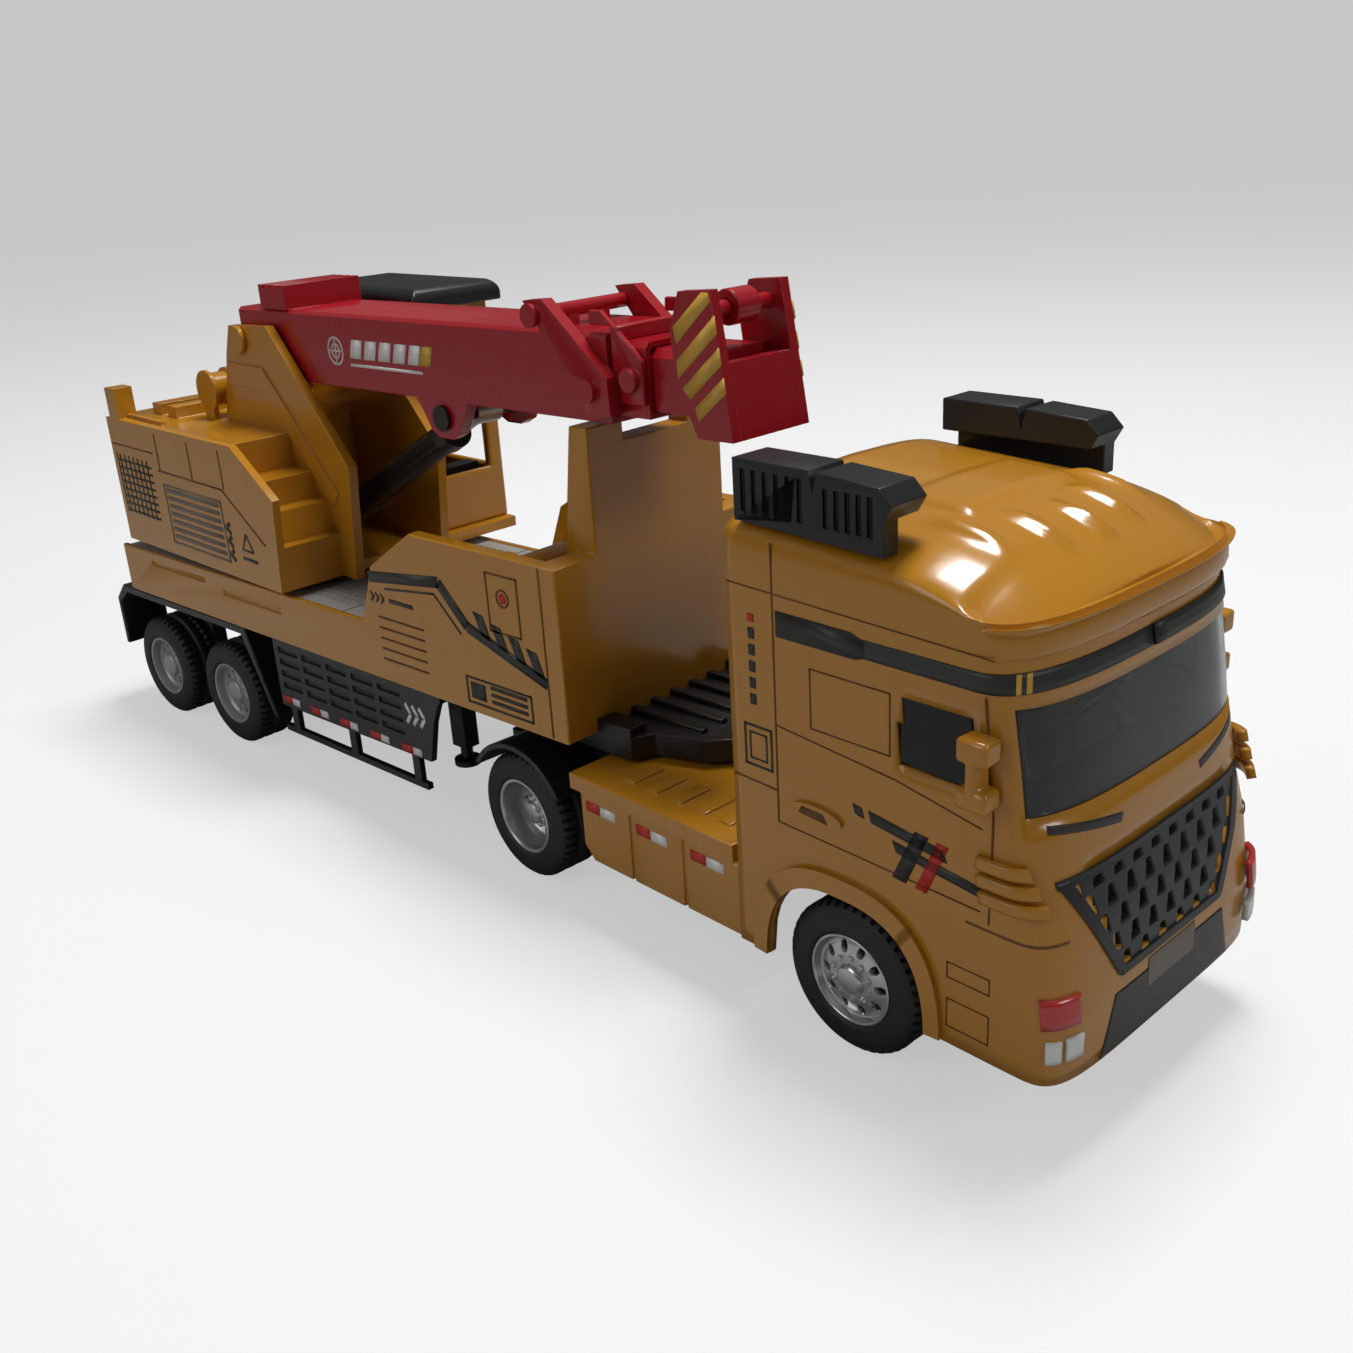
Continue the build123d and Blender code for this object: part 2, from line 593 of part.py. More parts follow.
with BuildPart() as boom_pivot_pin:
    cross_rod(hub_x, hub_z, hub_pin_r, -cheek_out, cheek_out)
    cross_rod(hub_x, hub_z, 2.6, -cheek_out - 1, -cheek_out)
    cross_rod(hub_x, hub_z, 2.6, cheek_out, cheek_out + 0.4)
write("boom_pivot_pin", boom_pivot_pin, crane_pose)

with BuildPart() as ram_base_pin:
    cross_rod(ram_x, ram_z, ram_pin_r, -cheek_out, cheek_out)
write("ram_base_pin", ram_base_pin, crane_pose)

# boom --------------------------------------------------------------------
boom_y = boom_w / 2
boom_top = boom_z + boom_h


def box_section(x0, x1, half, z0, z1, wall, corner):
    """Hollow box section with its two top corners cut by corner."""
    outline = [(-half, z0), (half, z0), (half, z1 - corner), (half - corner, z1), (corner - half, z1),
               (-half, z1 - corner)]
    front_plate(outline, x0, x1)
    hole = half - wall
    cut = max(corner - 0.4 * wall, 0.01)
    front_plate([(-hole, z0 + wall), (hole, z0 + wall), (hole, z1 - wall - cut), (hole - cut, z1 - wall),
                 (cut - hole, z1 - wall), (-hole, z1 - wall - cut)], x0 - 1, x1 + 1, Mode.SUBTRACT)


middle_y = boom_y - wall_outer - slide_gap
middle_z0 = boom_z + wall_outer + slide_gap
middle_z1 = boom_top - wall_outer - slide_gap
inner_y = middle_y - wall_middle - slide_gap
inner_z0 = middle_z0 + wall_middle + slide_gap
inner_z1 = middle_z1 - wall_middle - slide_gap

with BuildPart() as outer_boom:
    box_section(boom_rear, outer_tip, boom_y, boom_z, boom_top, wall_outer, 0.6)
    block(-62, -53, -boom_y, boom_y, boom_top, boom_top + 4.3)
    for x in (-60.6, -58.2, -55.8):
        block(x, x + 0.9, -boom_y, boom_y, boom_top + 3.6, boom_top + 5, Mode.SUBTRACT)
    for y0, y1 in ((-boom_y, -boom_y + 2), (boom_y - 2, boom_y)):
        side_plate([(-14.6, boom_z), (-11.4, lug_z - 2.4), (-9.4, lug_z - 3.4), (-5.9, lug_z - 3.4),
                    (-3.9, lug_z - 2.4), (-0.6, boom_z)], y0, y1)
    cross_rod(lug_x, lug_z, 1.3, -boom_y, boom_y, Mode.SUBTRACT)
    cross_rod(hub_x, hub_z, hub_pin_r + run_gap, -boom_y, boom_y, Mode.SUBTRACT)
write("outer_boom", outer_boom, boom_pose)

tie_z = boom_top + 2.2
collar_profile = [(18.5, boom_top + 4.2), (22.8, boom_top + 4.5), (35.4, boom_top - 5.8), (35.6, boom_z + 1.6),
                  (30.4, boom_z + 0.6), (26.1, boom_top - 5.1)]
with BuildPart() as outer_collar:
    both_sides(collar_profile, boom_y, boom_y + 2)
    cross_rod(20.3, tie_z, 1.1, -boom_y - 2, boom_y + 2)
    both_sides([(19.2, boom_top), (21.4, boom_top), (21.4, tie_z - 0.6), (19.2, tie_z - 0.6)], 2, 4)
    for x, z in ((20.3, tie_z), (31.4, boom_z + 4.8)):
        cross_rod(x, z, 1.7, -boom_y - 2.8, -boom_y - 2)
        cross_rod(x, z, 1.7, boom_y + 2, boom_y + 2.8)
write("outer_collar", outer_collar, boom_pose)

stud_in = eye_w / 2 + 0.3
with BuildPart() as lug_studs:
    for y0, y1 in ((-boom_y, -stud_in), (stud_in, boom_y)):
        cross_rod(lug_x, lug_z, 1.3, y0, y1)
    cross_rod(lug_x, lug_z, 2.1, -boom_y - 0.8, -boom_y)
    cross_rod(lug_x, lug_z, 2.1, boom_y, boom_y + 0.8)
write("lug_studs", lug_studs, boom_pose)

with BuildPart() as middle_boom:
    box_section(-63, middle_tip, middle_y, middle_z0, middle_z1, wall_middle, 0.8)
write("middle_boom", middle_boom, boom_pose)

with BuildPart() as middle_collar:
    both_sides([(30, boom_top + 1), (30.2, boom_top + 3), (32.6, boom_top + 3), (40.4, boom_top - 3.4),
                (40.4, boom_z + 3), (outer_tip + 0.8, boom_z + 3), (outer_tip + 0.8, boom_top + 1)],
               middle_y, middle_y + 0.9)
    block(outer_tip + 0.8, outer_tip + 2.4, -middle_y - 0.9, middle_y + 0.9, middle_z1, boom_top + 1)
    for y0, y1 in ((-middle_y - 2, -middle_y - 0.9), (middle_y + 0.9, middle_y + 2)):
        cross_rod(38.2, boom_z + 6.5, 1.7, y0, y1)
write("middle_collar", middle_collar, boom_pose)

with BuildPart() as inner_boom:
    box_section(-56, inner_tip, inner_y, inner_z0, inner_z1, wall_inner, 1.2)
write("inner_boom", inner_boom, boom_pose)

head_in = inner_y
head_t = 1.6
sheave_z = boom_top + 3.4
with BuildPart() as boom_head:
    both_sides([(46, boom_top + 0.6), (48, boom_top + 6), (53.8, boom_top + 6.3), (56.7, head_z0), (50.2, head_z0),
                (46.9, boom_z + 6.5)],
               head_in, head_in + head_t)
    side_plate([(55.1, 83), (56.7, head_z0), (50.2, head_z0), (50.2, head_z0 + 1.2), (54.8, head_z0 + 1.2),
                (53.6, 83)], -head_in, head_in)
    block(inner_tip, inner_tip + 1, -head_in, head_in, head_z0 + 1.2, inner_z1)
    cross_rod(51.4, sheave_z, 1.1, -head_in, head_in)
write("boom_head", boom_head, boom_pose)

with BuildPart() as head_sheave:
    cross_rod(51.4, sheave_z, 2.4, -2.2, 2.2)
    cross_rod(51.4, sheave_z, 1.1, -2.2, 2.2, Mode.SUBTRACT)
write("head_sheave", head_sheave, boom_pose)

# ram ---------------------------------------------------------------------
ram_pose = crane_pose * Pos(ram_x, 0, ram_z) * Rot(0, -ram_angle, 0)


def ram_rod_solid(radius, start, end, mode=Mode.ADD):
    with BuildSketch(Plane.YZ.offset(start)) as profile:
        Circle(radius)
    extrude(profile.sketch, amount=end - start, mode=mode)


with BuildPart() as ram_barrel:
    cross_rod(0, 0, 2.9, -eye_w / 2, eye_w / 2)
    ram_rod_solid(barrel_r, 1.5, barrel_len)
    ram_rod_solid(barrel_r + 0.4, barrel_len - 3, barrel_len)
    ram_rod_solid(rod_r + run_gap, 5, barrel_len + 1, Mode.SUBTRACT)
    cross_rod(0, 0, ram_pin_r + run_gap, -eye_w, eye_w, Mode.SUBTRACT)
write("ram_barrel", ram_barrel, ram_pose)

with BuildPart() as ram_rod:
    ram_rod_solid(rod_r, 8, ram_length)
    cross_rod(ram_length, 0, 2.2, -eye_w / 2, eye_w / 2)
write("ram_rod", ram_rod, ram_pose)
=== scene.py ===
from math import radians

import bmesh
import bpy
import numpy as np
from mathutils import Matrix, Vector


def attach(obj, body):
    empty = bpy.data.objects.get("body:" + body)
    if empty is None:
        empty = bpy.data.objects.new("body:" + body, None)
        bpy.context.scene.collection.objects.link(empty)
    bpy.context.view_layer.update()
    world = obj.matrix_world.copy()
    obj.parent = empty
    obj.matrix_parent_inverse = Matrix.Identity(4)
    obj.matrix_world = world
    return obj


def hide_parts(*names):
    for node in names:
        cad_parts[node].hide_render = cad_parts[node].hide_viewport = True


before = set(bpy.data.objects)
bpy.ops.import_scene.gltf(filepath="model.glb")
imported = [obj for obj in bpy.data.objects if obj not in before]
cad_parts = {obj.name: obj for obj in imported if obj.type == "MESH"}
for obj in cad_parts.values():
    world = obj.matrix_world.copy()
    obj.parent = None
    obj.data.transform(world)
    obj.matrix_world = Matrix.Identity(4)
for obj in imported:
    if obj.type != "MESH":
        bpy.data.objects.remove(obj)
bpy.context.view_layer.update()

print("frame loaded")

# where each assembly stands at rest, lengths in millimetres
restPose = {"offset": (-0.35, 1.21, 0.0), "kingpinX": 18.0, "hitchTurn": -4.0, "slewX": -76.0,
            "slewTurn": -2.7, "hub": (-67.6, 0.0, 80.4), "boomPitch": 0.8}


def turnedAbout(pivot, degrees, axis):
    # rotation by degrees about an axis through the pivot
    pivot = Vector(pivot)
    return Matrix.Translation(pivot) @ Matrix.Rotation(radians(degrees), 4,
                                                       axis) @ Matrix.Translation(-pivot)


onTrailer = Matrix.Translation(Vector(restPose["offset"]))
onTractor = onTrailer @ Matrix.Translation((restPose["kingpinX"], 0, 0)) @ Matrix.Rotation(
    radians(restPose["hitchTurn"]), 4, "Z")
onCrane = onTrailer @ turnedAbout((restPose["slewX"], 0, 0), restPose["slewTurn"], "Z")
onBoom = onCrane @ turnedAbout(restPose["hub"], -restPose["boomPitch"], "Y")


# materials
def addSockets(group, direction, sockets):
    # each socket is a label, a kind and a starting value
    for label, kind, value in sockets:
        socket = group.interface.new_socket(name=label, in_out=direction, socket_type=kind)
        if value is not None:
            socket.default_value = value


def makeMouldedGroup():
    # slow blotches shift the colour, fine grain and scuffs move roughness and height
    group = bpy.data.node_groups.new("mouldedSurface", "ShaderNodeTree")
    addSockets(group, "INPUT", (("Color", "NodeSocketColor", (0.8, 0.8, 0.8, 1)),
                                ("Worn Color", "NodeSocketColor", (0.5, 0.5, 0.5, 1)),
                                ("Roughness", "NodeSocketFloat", 0.3),
                                ("Scuff", "NodeSocketFloat", 0.3),
                                ("Grain Scale", "NodeSocketFloat", 900.0)))
    addSockets(group, "OUTPUT", (("Color", "NodeSocketColor", None), ("Roughness", "NodeSocketFloat", None),
                                 ("Height", "NodeSocketFloat", None)))
    nodes, links = group.nodes, group.links
    given = nodes.new("NodeGroupInput")
    result = nodes.new("NodeGroupOutput")
    place = nodes.new("ShaderNodeTexCoord")
    blotch = nodes.new("ShaderNodeTexNoise")
    blotch.inputs["Scale"].default_value = 45
    blotch.inputs["Detail"].default_value = 6
    grain = nodes.new("ShaderNodeTexNoise")
    grain.inputs["Detail"].default_value = 3
    scuff = nodes.new("ShaderNodeTexNoise")
    scuff.inputs["Scale"].default_value = 260
    scuff.inputs["Detail"].default_value = 8
    scuff.inputs["Distortion"].default_value = 1.5
    for node in (blotch, grain, scuff):
        links.new(place.outputs["Object"], node.inputs["Vector"])
    links.new(given.outputs["Grain Scale"], grain.inputs["Scale"])
    marks = nodes.new("ShaderNodeMapRange")
    marks.inputs["From Min"].default_value = 0.56
    marks.inputs["From Max"].default_value = 0.75
    links.new(scuff.outputs["Fac"], marks.inputs["Value"])
    strength = nodes.new("ShaderNodeMath")
    strength.operation = "MULTIPLY"
    links.new(marks.outputs["Result"], strength.inputs[0])
    links.new(given.outputs["Scuff"], strength.inputs[1])
    tone = nodes.new("ShaderNodeMapRange")
    tone.inputs["From Min"].default_value = 0.3
    tone.inputs["From Max"].default_value = 0.7
    tone.inputs["To Min"].default_value = 0.0
    tone.inputs["To Max"].default_value = 0.22
    links.new(blotch.outputs["Fac"], tone.inputs["Value"])
    amount = nodes.new("ShaderNodeMath")
    amount.operation = "MAXIMUM"
    links.new(tone.outputs["Result"], amount.inputs[0])
    links.new(strength.outputs[0], amount.inputs[1])
    mix = nodes.new("ShaderNodeMix")
    mix.data_type = "RGBA"
    links.new(amount.outputs[0], mix.inputs[0])
    links.new(given.outputs["Color"], mix.inputs[6])
    links.new(given.outputs["Worn Color"], mix.inputs[7])
    links.new(mix.outputs[2], result.inputs["Color"])
    rough = nodes.new("ShaderNodeMath")
    rough.operation = "MULTIPLY_ADD"
    rough.inputs[1].default_value = 0.35
    links.new(amount.outputs[0], rough.inputs[0])
    links.new(given.outputs["Roughness"], rough.inputs[2])
    links.new(rough.outputs[0], result.inputs["Roughness"])
    links.new(grain.outputs["Fac"], result.inputs["Height"])
    return group


mouldedGroup = makeMouldedGroup()


def mouldedMaterial(name, color, worn=None, roughness=0.3, scuff=0.3, grain=900.0, bump=0.05, metallic=0.0,
                    coat=0.0, dark=None):
    # one moulded, plated or printed surface; dark is the name of a mesh attribute that paints shade into
    # pits, mixing their colour towards near black
    material = bpy.data.materials.new(name)
    material.use_nodes = True
    nodes, links = material.node_tree.nodes, material.node_tree.links
    shader = nodes["Principled BSDF"]
    surface = nodes.new("ShaderNodeGroup")
    surface.node_tree = mouldedGroup
    surface.inputs["Color"].default_value = (*color, 1)
    surface.inputs["Worn Color"].default_value = (*(worn or [channel * 0.7 for channel in color]), 1)
    surface.inputs["Roughness"].default_value = roughness
    surface.inputs["Scuff"].default_value = scuff
    surface.inputs["Grain Scale"].default_value = grain
    relief = nodes.new("ShaderNodeBump")
    relief.inputs["Strength"].default_value = bump
    relief.inputs["Distance"].default_value = 0.0003
    colorOut = surface.outputs["Color"]
    # painted shade: the pit attribute darkens holes and dents to near black, where shade falls
    if dark:
        pitAndShade = nodes.new("ShaderNodeAttribute")
        pitAndShade.attribute_name = dark
        shade = nodes.new("ShaderNodeMix")
        shade.data_type = "RGBA"
        shade.inputs[7].default_value = (0.006, 0.006, 0.007, 1)
        links.new(pitAndShade.outputs["Fac"], shade.inputs[0])
        links.new(colorOut, shade.inputs[6])
        colorOut = shade.outputs[2]
    links.new(colorOut, shader.inputs["Base Color"])
    links.new(surface.outputs["Roughness"], shader.inputs["Roughness"])
    links.new(surface.outputs["Height"], relief.inputs["Height"])
    links.new(relief.outputs["Normal"], shader.inputs["Normal"])
    shader.inputs["Metallic"].default_value = metallic
    shader.inputs["Coat Weight"].default_value = coat
    shader.inputs["Coat Roughness"].default_value = 0.08
    return material


def glazingMaterial(name, color, roughness, transmission):
    # clear or tinted glazing, with faint smears in its roughness
    material = bpy.data.materials.new(name)
    material.use_nodes = True
    nodes, links = material.node_tree.nodes, material.node_tree.links
    shader = nodes["Principled BSDF"]
    shader.inputs["Base Color"].default_value = (*color, 1)
    shader.inputs["Transmission Weight"].default_value = transmission
    shader.inputs["IOR"].default_value = 1.3
    place = nodes.new("ShaderNodeTexCoord")
    smears = nodes.new("ShaderNodeTexNoise")
    smears.inputs["Scale"].default_value = 120
    smears.inputs["Detail"].default_value = 5
    spread = nodes.new("ShaderNodeMapRange")
    spread.inputs["To Min"].default_value = roughness * 0.6
    spread.inputs["To Max"].default_value = roughness * 1.8
    links.new(place.outputs["Object"], smears.inputs["Vector"])
    links.new(smears.outputs["Fac"], spread.inputs["Value"])
    links.new(spread.outputs["Result"], shader.inputs["Roughness"])
    return material


yellow = mouldedMaterial("yellowPlastic", (0.47, 0.205, 0.012), (0.40, 0.168, 0.009), 0.17, 0.12, 700, 0.04,
                         0, 0.3)
red = mouldedMaterial("redPlastic", (0.36, 0.006, 0.013), (0.28, 0.005, 0.01), 0.22, 0.15, 700, 0.04, 0,
                      0.25)
black = mouldedMaterial("blackPlastic", (0.006, 0.007, 0.007), (0.014, 0.016, 0.016), 0.34, 0.3, 1100, 0.08)
darkPrint = mouldedMaterial("darkPrint", (0.022, 0.022, 0.02), (0.05, 0.05, 0.045), 0.4, 0.3)
greyPrint = mouldedMaterial("greyPrint", (0.16, 0.13, 0.10), (0.1, 0.09, 0.07), 0.42, 0.2)
# seam colour for the moulded lines, also used for the painted shade on the door handles
seamAndShadePrint = mouldedMaterial("seamLineAndShade", (0.13, 0.05, 0.004), (0.1, 0.04, 0.004), 0.45, 0.2)
whitePrint = mouldedMaterial("whitePrint", (0.78, 0.78, 0.76), (0.6, 0.6, 0.58), 0.35, 0.2)
redPrint = mouldedMaterial("redPrint", (0.55, 0.02, 0.015), (0.4, 0.02, 0.015), 0.35, 0.2)
goldPrint = mouldedMaterial("goldPrint", (0.62, 0.36, 0.05), (0.5, 0.28, 0.04), 0.35, 0.2)
deckGrey = mouldedMaterial("deckPlate", (0.30, 0.29, 0.27), (0.2, 0.19, 0.18), 0.42, 0.3, 500, 0.2)
rubber = mouldedMaterial("tyreRubber", (0.011, 0.011, 0.011), (0.03, 0.03, 0.028), 0.55, 0.5, 1300, 0.2)
# the rim and grille finishes paint near-black shade into the pits marked on their meshes
silver = mouldedMaterial("platedRim", (0.62, 0.62, 0.63), (0.3, 0.3, 0.31), 0.2, 0.25, 700, 0.05, 0.9, 0,
                         "pitAndShade")
dullSilver = mouldedMaterial("silverPaint", (0.42, 0.43, 0.44), (0.25, 0.25, 0.26), 0.36, 0.3, 700, 0.06,
                             0.55, 0,
                             "pitAndShade")
grilleBlack = mouldedMaterial("grilleBlack", (0.012, 0.015, 0.015), (0.022, 0.026, 0.026), 0.34, 0.2, 900,
                              0.06, 0, 0,
                              "pitAndShade")
steel = mouldedMaterial("plainSteel", (0.5, 0.5, 0.51), (0.3, 0.29, 0.28), 0.3, 0.4, 800, 0.08, 1.0)
lampWhite = mouldedMaterial("lampWhite", (0.72, 0.73, 0.72), (0.6, 0.6, 0.6), 0.15, 0.1, 700, 0.03, 0, 0.5)
lampRed = mouldedMaterial("lampRed", (0.5, 0.03, 0.025), (0.4, 0.02, 0.02), 0.18, 0.15, 700, 0.03, 0, 0.5)
clearGlass = glazingMaterial("clearGlazing", (0.62, 0.67, 0.66), 0.05, 0.95)
darkGlass = glazingMaterial("darkGlazing", (0.045, 0.04, 0.04), 0.12, 0.55)
print("materials made")


def paint(node, material):
    # a CAD node keeps its shape and takes this finish
    for holder in bpy.data.objects[node].material_slots:
        holder.material = material


# making pieces
def finishPiece(name, mesh, material, body, replaced=(), smooth=35):
    # material, body and replaced nodes, with edges sharper than smooth degrees kept crisp
    mesh.materials.append(material)
    piece = bpy.data.objects.new(name, mesh)
    bpy.context.scene.collection.objects.link(piece)
    mesh.shade_smooth()
    if smooth:
        mesh.set_sharp_from_angle(angle=radians(smooth))
    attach(piece, body)
    if replaced:
        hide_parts(*replaced)
    return piece


def placed(points, place):
    # millimetre points through the placing matrix, in metres
    turn = np.array(place)
    return (points.reshape(-1, 3) @ turn[:3, :3].T + turn[:3, 3]) * 0.001


def gridFaces(rows, columns, wrapRows=False, wrapColumns=False, keep=None):
    # quads between neighbouring rows and columns of a grid numbered row by row
    i = np.arange(rows if wrapRows else rows - 1)
    j = np.arange(columns if wrapColumns else columns - 1)
    a, b = np.meshgrid(i, j, indexing="ij")
    nextA, nextB = (a + 1) % rows, (b + 1) % columns
    quads = np.stack([a * columns + b, nextA * columns + b, nextA * columns + nextB, a * columns + nextB],
                     -1)
    quads = quads.reshape(-1, 4)
    return quads if keep is None else quads[keep.reshape(-1)]


def tidyNormals(mesh, merge=1e-6):
    # merges doubled points, drops loose ones and turns the faces outwards
    work = bmesh.new()
    work.from_mesh(mesh)
    bmesh.ops.remove_doubles(work, verts=work.verts, dist=merge)
    loose = [vert for vert in work.verts if not vert.link_faces]
    bmesh.ops.delete(work, geom=loose, context="VERTS")
    bmesh.ops.recalc_face_normals(work, faces=work.faces)
    work.to_mesh(mesh)
    work.free()


def gridMesh(name, points, place, wrapRows=False, wrapColumns=False, keep=None, pitAndShade=None):
    # a grid of points joined into quads, with the depth of each pit kept as an attribute, which the rim and
    # grille finishes use for painted shade
    mesh = bpy.data.meshes.new(name)
    rows, columns = points.shape[:2]
    faces = gridFaces(rows, columns, wrapRows, wrapColumns, keep)
    mesh.from_pydata(placed(points, place), [], faces.tolist())
    if pitAndShade is not None:
        mark = mesh.attributes.new("pitAndShade", "FLOAT", "POINT")
        mark.data.foreach_set("value", pitAndShade.reshape(-1).astype(np.float32))
    return mesh


def plateMesh(name, shapes, lift, place):
    # each outline becomes a thin plate: lift(a, b, h) carries its two coordinates and height into space
    points, faces = [], []
    for outline in shapes:
        first, count = len(points), len(outline)
        points += [lift(a, b, 0.0) for a, b in outline] + [lift(a, b, 1.0) for a, b in outline]
        faces.append(list(range(first, first + count))[::-1])
        faces.append(list(range(first + count, first + 2 * count)))
        faces += [[first + k, first + (k + 1) % count, first + count + (k + 1) % count, first + count + k]
                  for k in range(count)]
    mesh = bpy.data.meshes.new(name)
    mesh.from_pydata(placed(np.array(points, float), place), [], faces)
    tidyNormals(mesh)
    return mesh


def sideLift(y, thickness):
    # outlines in x and z, raised outwards from the plane y
    outward = 1 if y > 0 else -1
    return lambda a, b, h: (a, y + outward * thickness * h, b)


def topLift(z, thickness):
    # outlines in x and y, raised upwards from the height z
    return lambda a, b, h: (a, b, z + thickness * h)


def frontLift(x, thickness):
    # outlines in y and z, raised forwards from the plane x
    return lambda a, b, h: (x + thickness * h, a, b)


def bar(x0, x1, z0, z1):
    # a rectangle between two places along and two heights
    return [(x0, z0), (x1, z0), (x1, z1), (x0, z1)]


def ring(cx, cz, radius, width, count=28):
    # an annulus as short quads
    turn = np.linspace(0, 2 * np.pi, count + 1)
    return [[(cx + radius * np.cos(a), cz + radius * np.sin(a)),
             (cx + radius * np.cos(b), cz + radius * np.sin(b)),
             (cx + (radius - width) * np.cos(b), cz + (radius - width) * np.sin(b)),
             (cx + (radius - width) * np.cos(a), cz + (radius - width) * np.sin(a))]
            for a, b in zip(turn[:-1], turn[1:])]


def frameLines(x0, x1, z0, z1, width):
    # a rectangle's four sides as thin bars
    return [bar(x0, x1, z0, z0 + width), bar(x0, x1, z1 - width, z1), bar(x0, x0 + width, z0, z1),
            bar(x1 - width, x1, z0, z1)]


def strokes(path, width):
    # a line of short slabs following a path
    slabs = []
    for (ax, az), (bx, bz) in zip(path[:-1], path[1:]):
        run = np.hypot(bx - ax, bz - az)
        nx, nz = -(bz - az) / run * width / 2, (bx - ax) / run * width / 2
        slabs.append([(ax + nx, az + nz), (bx + nx, bz + nz), (bx - nx, bz - nz), (ax - nx, az - nz)])
    return slabs


def printed(name, shapes, lift, place, material, body):
    # flat outlines as a thin plate on the surface
    return finishPiece(name, plateMesh(name, shapes, lift, place), material, body, (), 0)


def softened(node, material, body, width=0.35, segments=2):
    # a copy of the CAD piece with its edges rounded, standing for the piece
    source = bpy.data.objects[node]
    mesh = source.data.copy()
    mesh.transform(source.matrix_world)
    mesh.materials.clear()
    work = bmesh.new()
    work.from_mesh(mesh)
    bmesh.ops.remove_doubles(work, verts=work.verts, dist=2e-6)
    bmesh.ops.dissolve_limit(work, angle_limit=radians(1.0), verts=work.verts, edges=work.edges)
    work.to_mesh(mesh)
    work.free()
    piece = finishPiece(node + "Soft", mesh, material, body, (node,))
    rounding = piece.modifiers.new("rounding", "BEVEL")
    rounding.width = width * 0.001
    rounding.segments = segments
    rounding.limit_method = "ANGLE"
    rounding.angle_limit = radians(40)
    rounding.use_clamp_overlap = True
    rounding.harden_normals = False
    return piece


# wheels
wheelSizes = {"radius": 10.7, "rimRadius": 6.4, "width": 8.8, "outer": 22.7, "treadDepth": 0.55, "lugs": 44}


def tyreMesh(name, x, side, place):
    # profile round the tyre's section, carried round the axle; lugs cut the tread by angle and width
    w = wheelSizes
    half = w["width"] / 2
    section = np.array([(w["rimRadius"] - 0.15, -half + 0.5), (w["rimRadius"] + 0.5, -half + 0.05),
                        (7.6, -half), (8.6, -half + 0.0), (9.5, -half + 0.2), (10.1, -half + 0.55),
                        (10.55, -half + 1.0)])
    tread = np.stack([np.full(15, w["radius"]), np.linspace(-half + 1.35, half - 1.35, 15)], 1)
    mirrored = section[::-1] * (1, -1)
    loop = np.concatenate([section, tread, mirrored, [(w["rimRadius"] - 0.15, 0)]])
    angle = np.linspace(0, 2 * np.pi, 264, endpoint=False)
    turn, radius = np.meshgrid(angle, loop[:, 0], indexing="ij")
    across = np.broadcast_to(loop[:, 1], turn.shape)
    skew = 0.12 * np.sign(across) * (np.abs(across) > 1.0)
    lug = (turn / (2 * np.pi) * w["lugs"] + 0.5 * (across > 0) + skew) % 1.0
    cut = ((lug < 0.34) & (np.abs(across) > 1.0)) | (np.abs(np.abs(across) - 1.0) < 0.35)
    onTread = radius > 10.3
    radius = radius - w["treadDepth"] * (cut & onTread)
    centre = side * (w["outer"] - half)
    points = np.stack([x + radius * np.cos(turn), centre + across * side,
                       10.7 + radius * np.sin(turn)], -1)
    mesh = gridMesh(name, points, place, True, True)
    tidyNormals(mesh, 1e-7)
    return mesh


def smoothStep(low, high, value):
    # eases from 0 at low to 1 at high
    t = np.clip((value - low) / (high - low), 0, 1)
    return t * t * (3 - 2 * t)


rimStyles = {
    "steer": {"face": [(6.38, 0.0), (6.15, 0.12), (5.95, 0.0), (5.75, -0.5), (5.6, -0.9), (5.2, -0.95),
                       (4.9, -0.8),
                       (3.7, -0.45), (3.5, -0.4), (2.6, -0.4), (2.2, -0.4), (2.0, 0.1), (1.7, 0.35),
                       (0.9, 0.45),
                       (0.02, 0.5)],
              "holes": 10, "holeRing": 4.45, "holeSize": (0.52, 0.78), "holeDepth": 0.9, "nutRing": 3.0,
              "nuts": 10},
    "drive": {"face": [(6.38, 0.0), (6.15, 0.12), (5.8, 0.0), (5.6, -0.5), (5.5, -2.0), (5.35, -3.6),
                       (5.0, -4.2),
                       (4.2, -4.3), (3.4, -4.2), (3.0, -3.6), (2.7, -2.6), (2.3, -2.5), (1.9, -2.0),
                       (1.6, -1.5),
                       (0.9, -1.4), (0.02, -1.35)],
              "holes": 8, "holeRing": 4.5, "holeSize": (0.5, 0.7), "holeDepth": 0.6, "nutRing": 2.45,
              "nuts": 8},
    "trailer": {"face": [(6.38, 0.0), (6.15, 0.1), (5.85, -0.05), (5.6, -0.7), (5.4, -1.5), (4.9, -1.9),
                         (4.0, -1.7),
                         (3.2, -1.4), (2.7, -1.3), (2.4, -0.7), (2.1, -0.5), (1.2, -0.35), (0.02, -0.3)],
                "holes": 10, "holeRing": 4.35, "holeSize": (0.42, 0.6), "holeDepth": 0.5, "nutRing": 3.1,
                "nuts": 10},
}


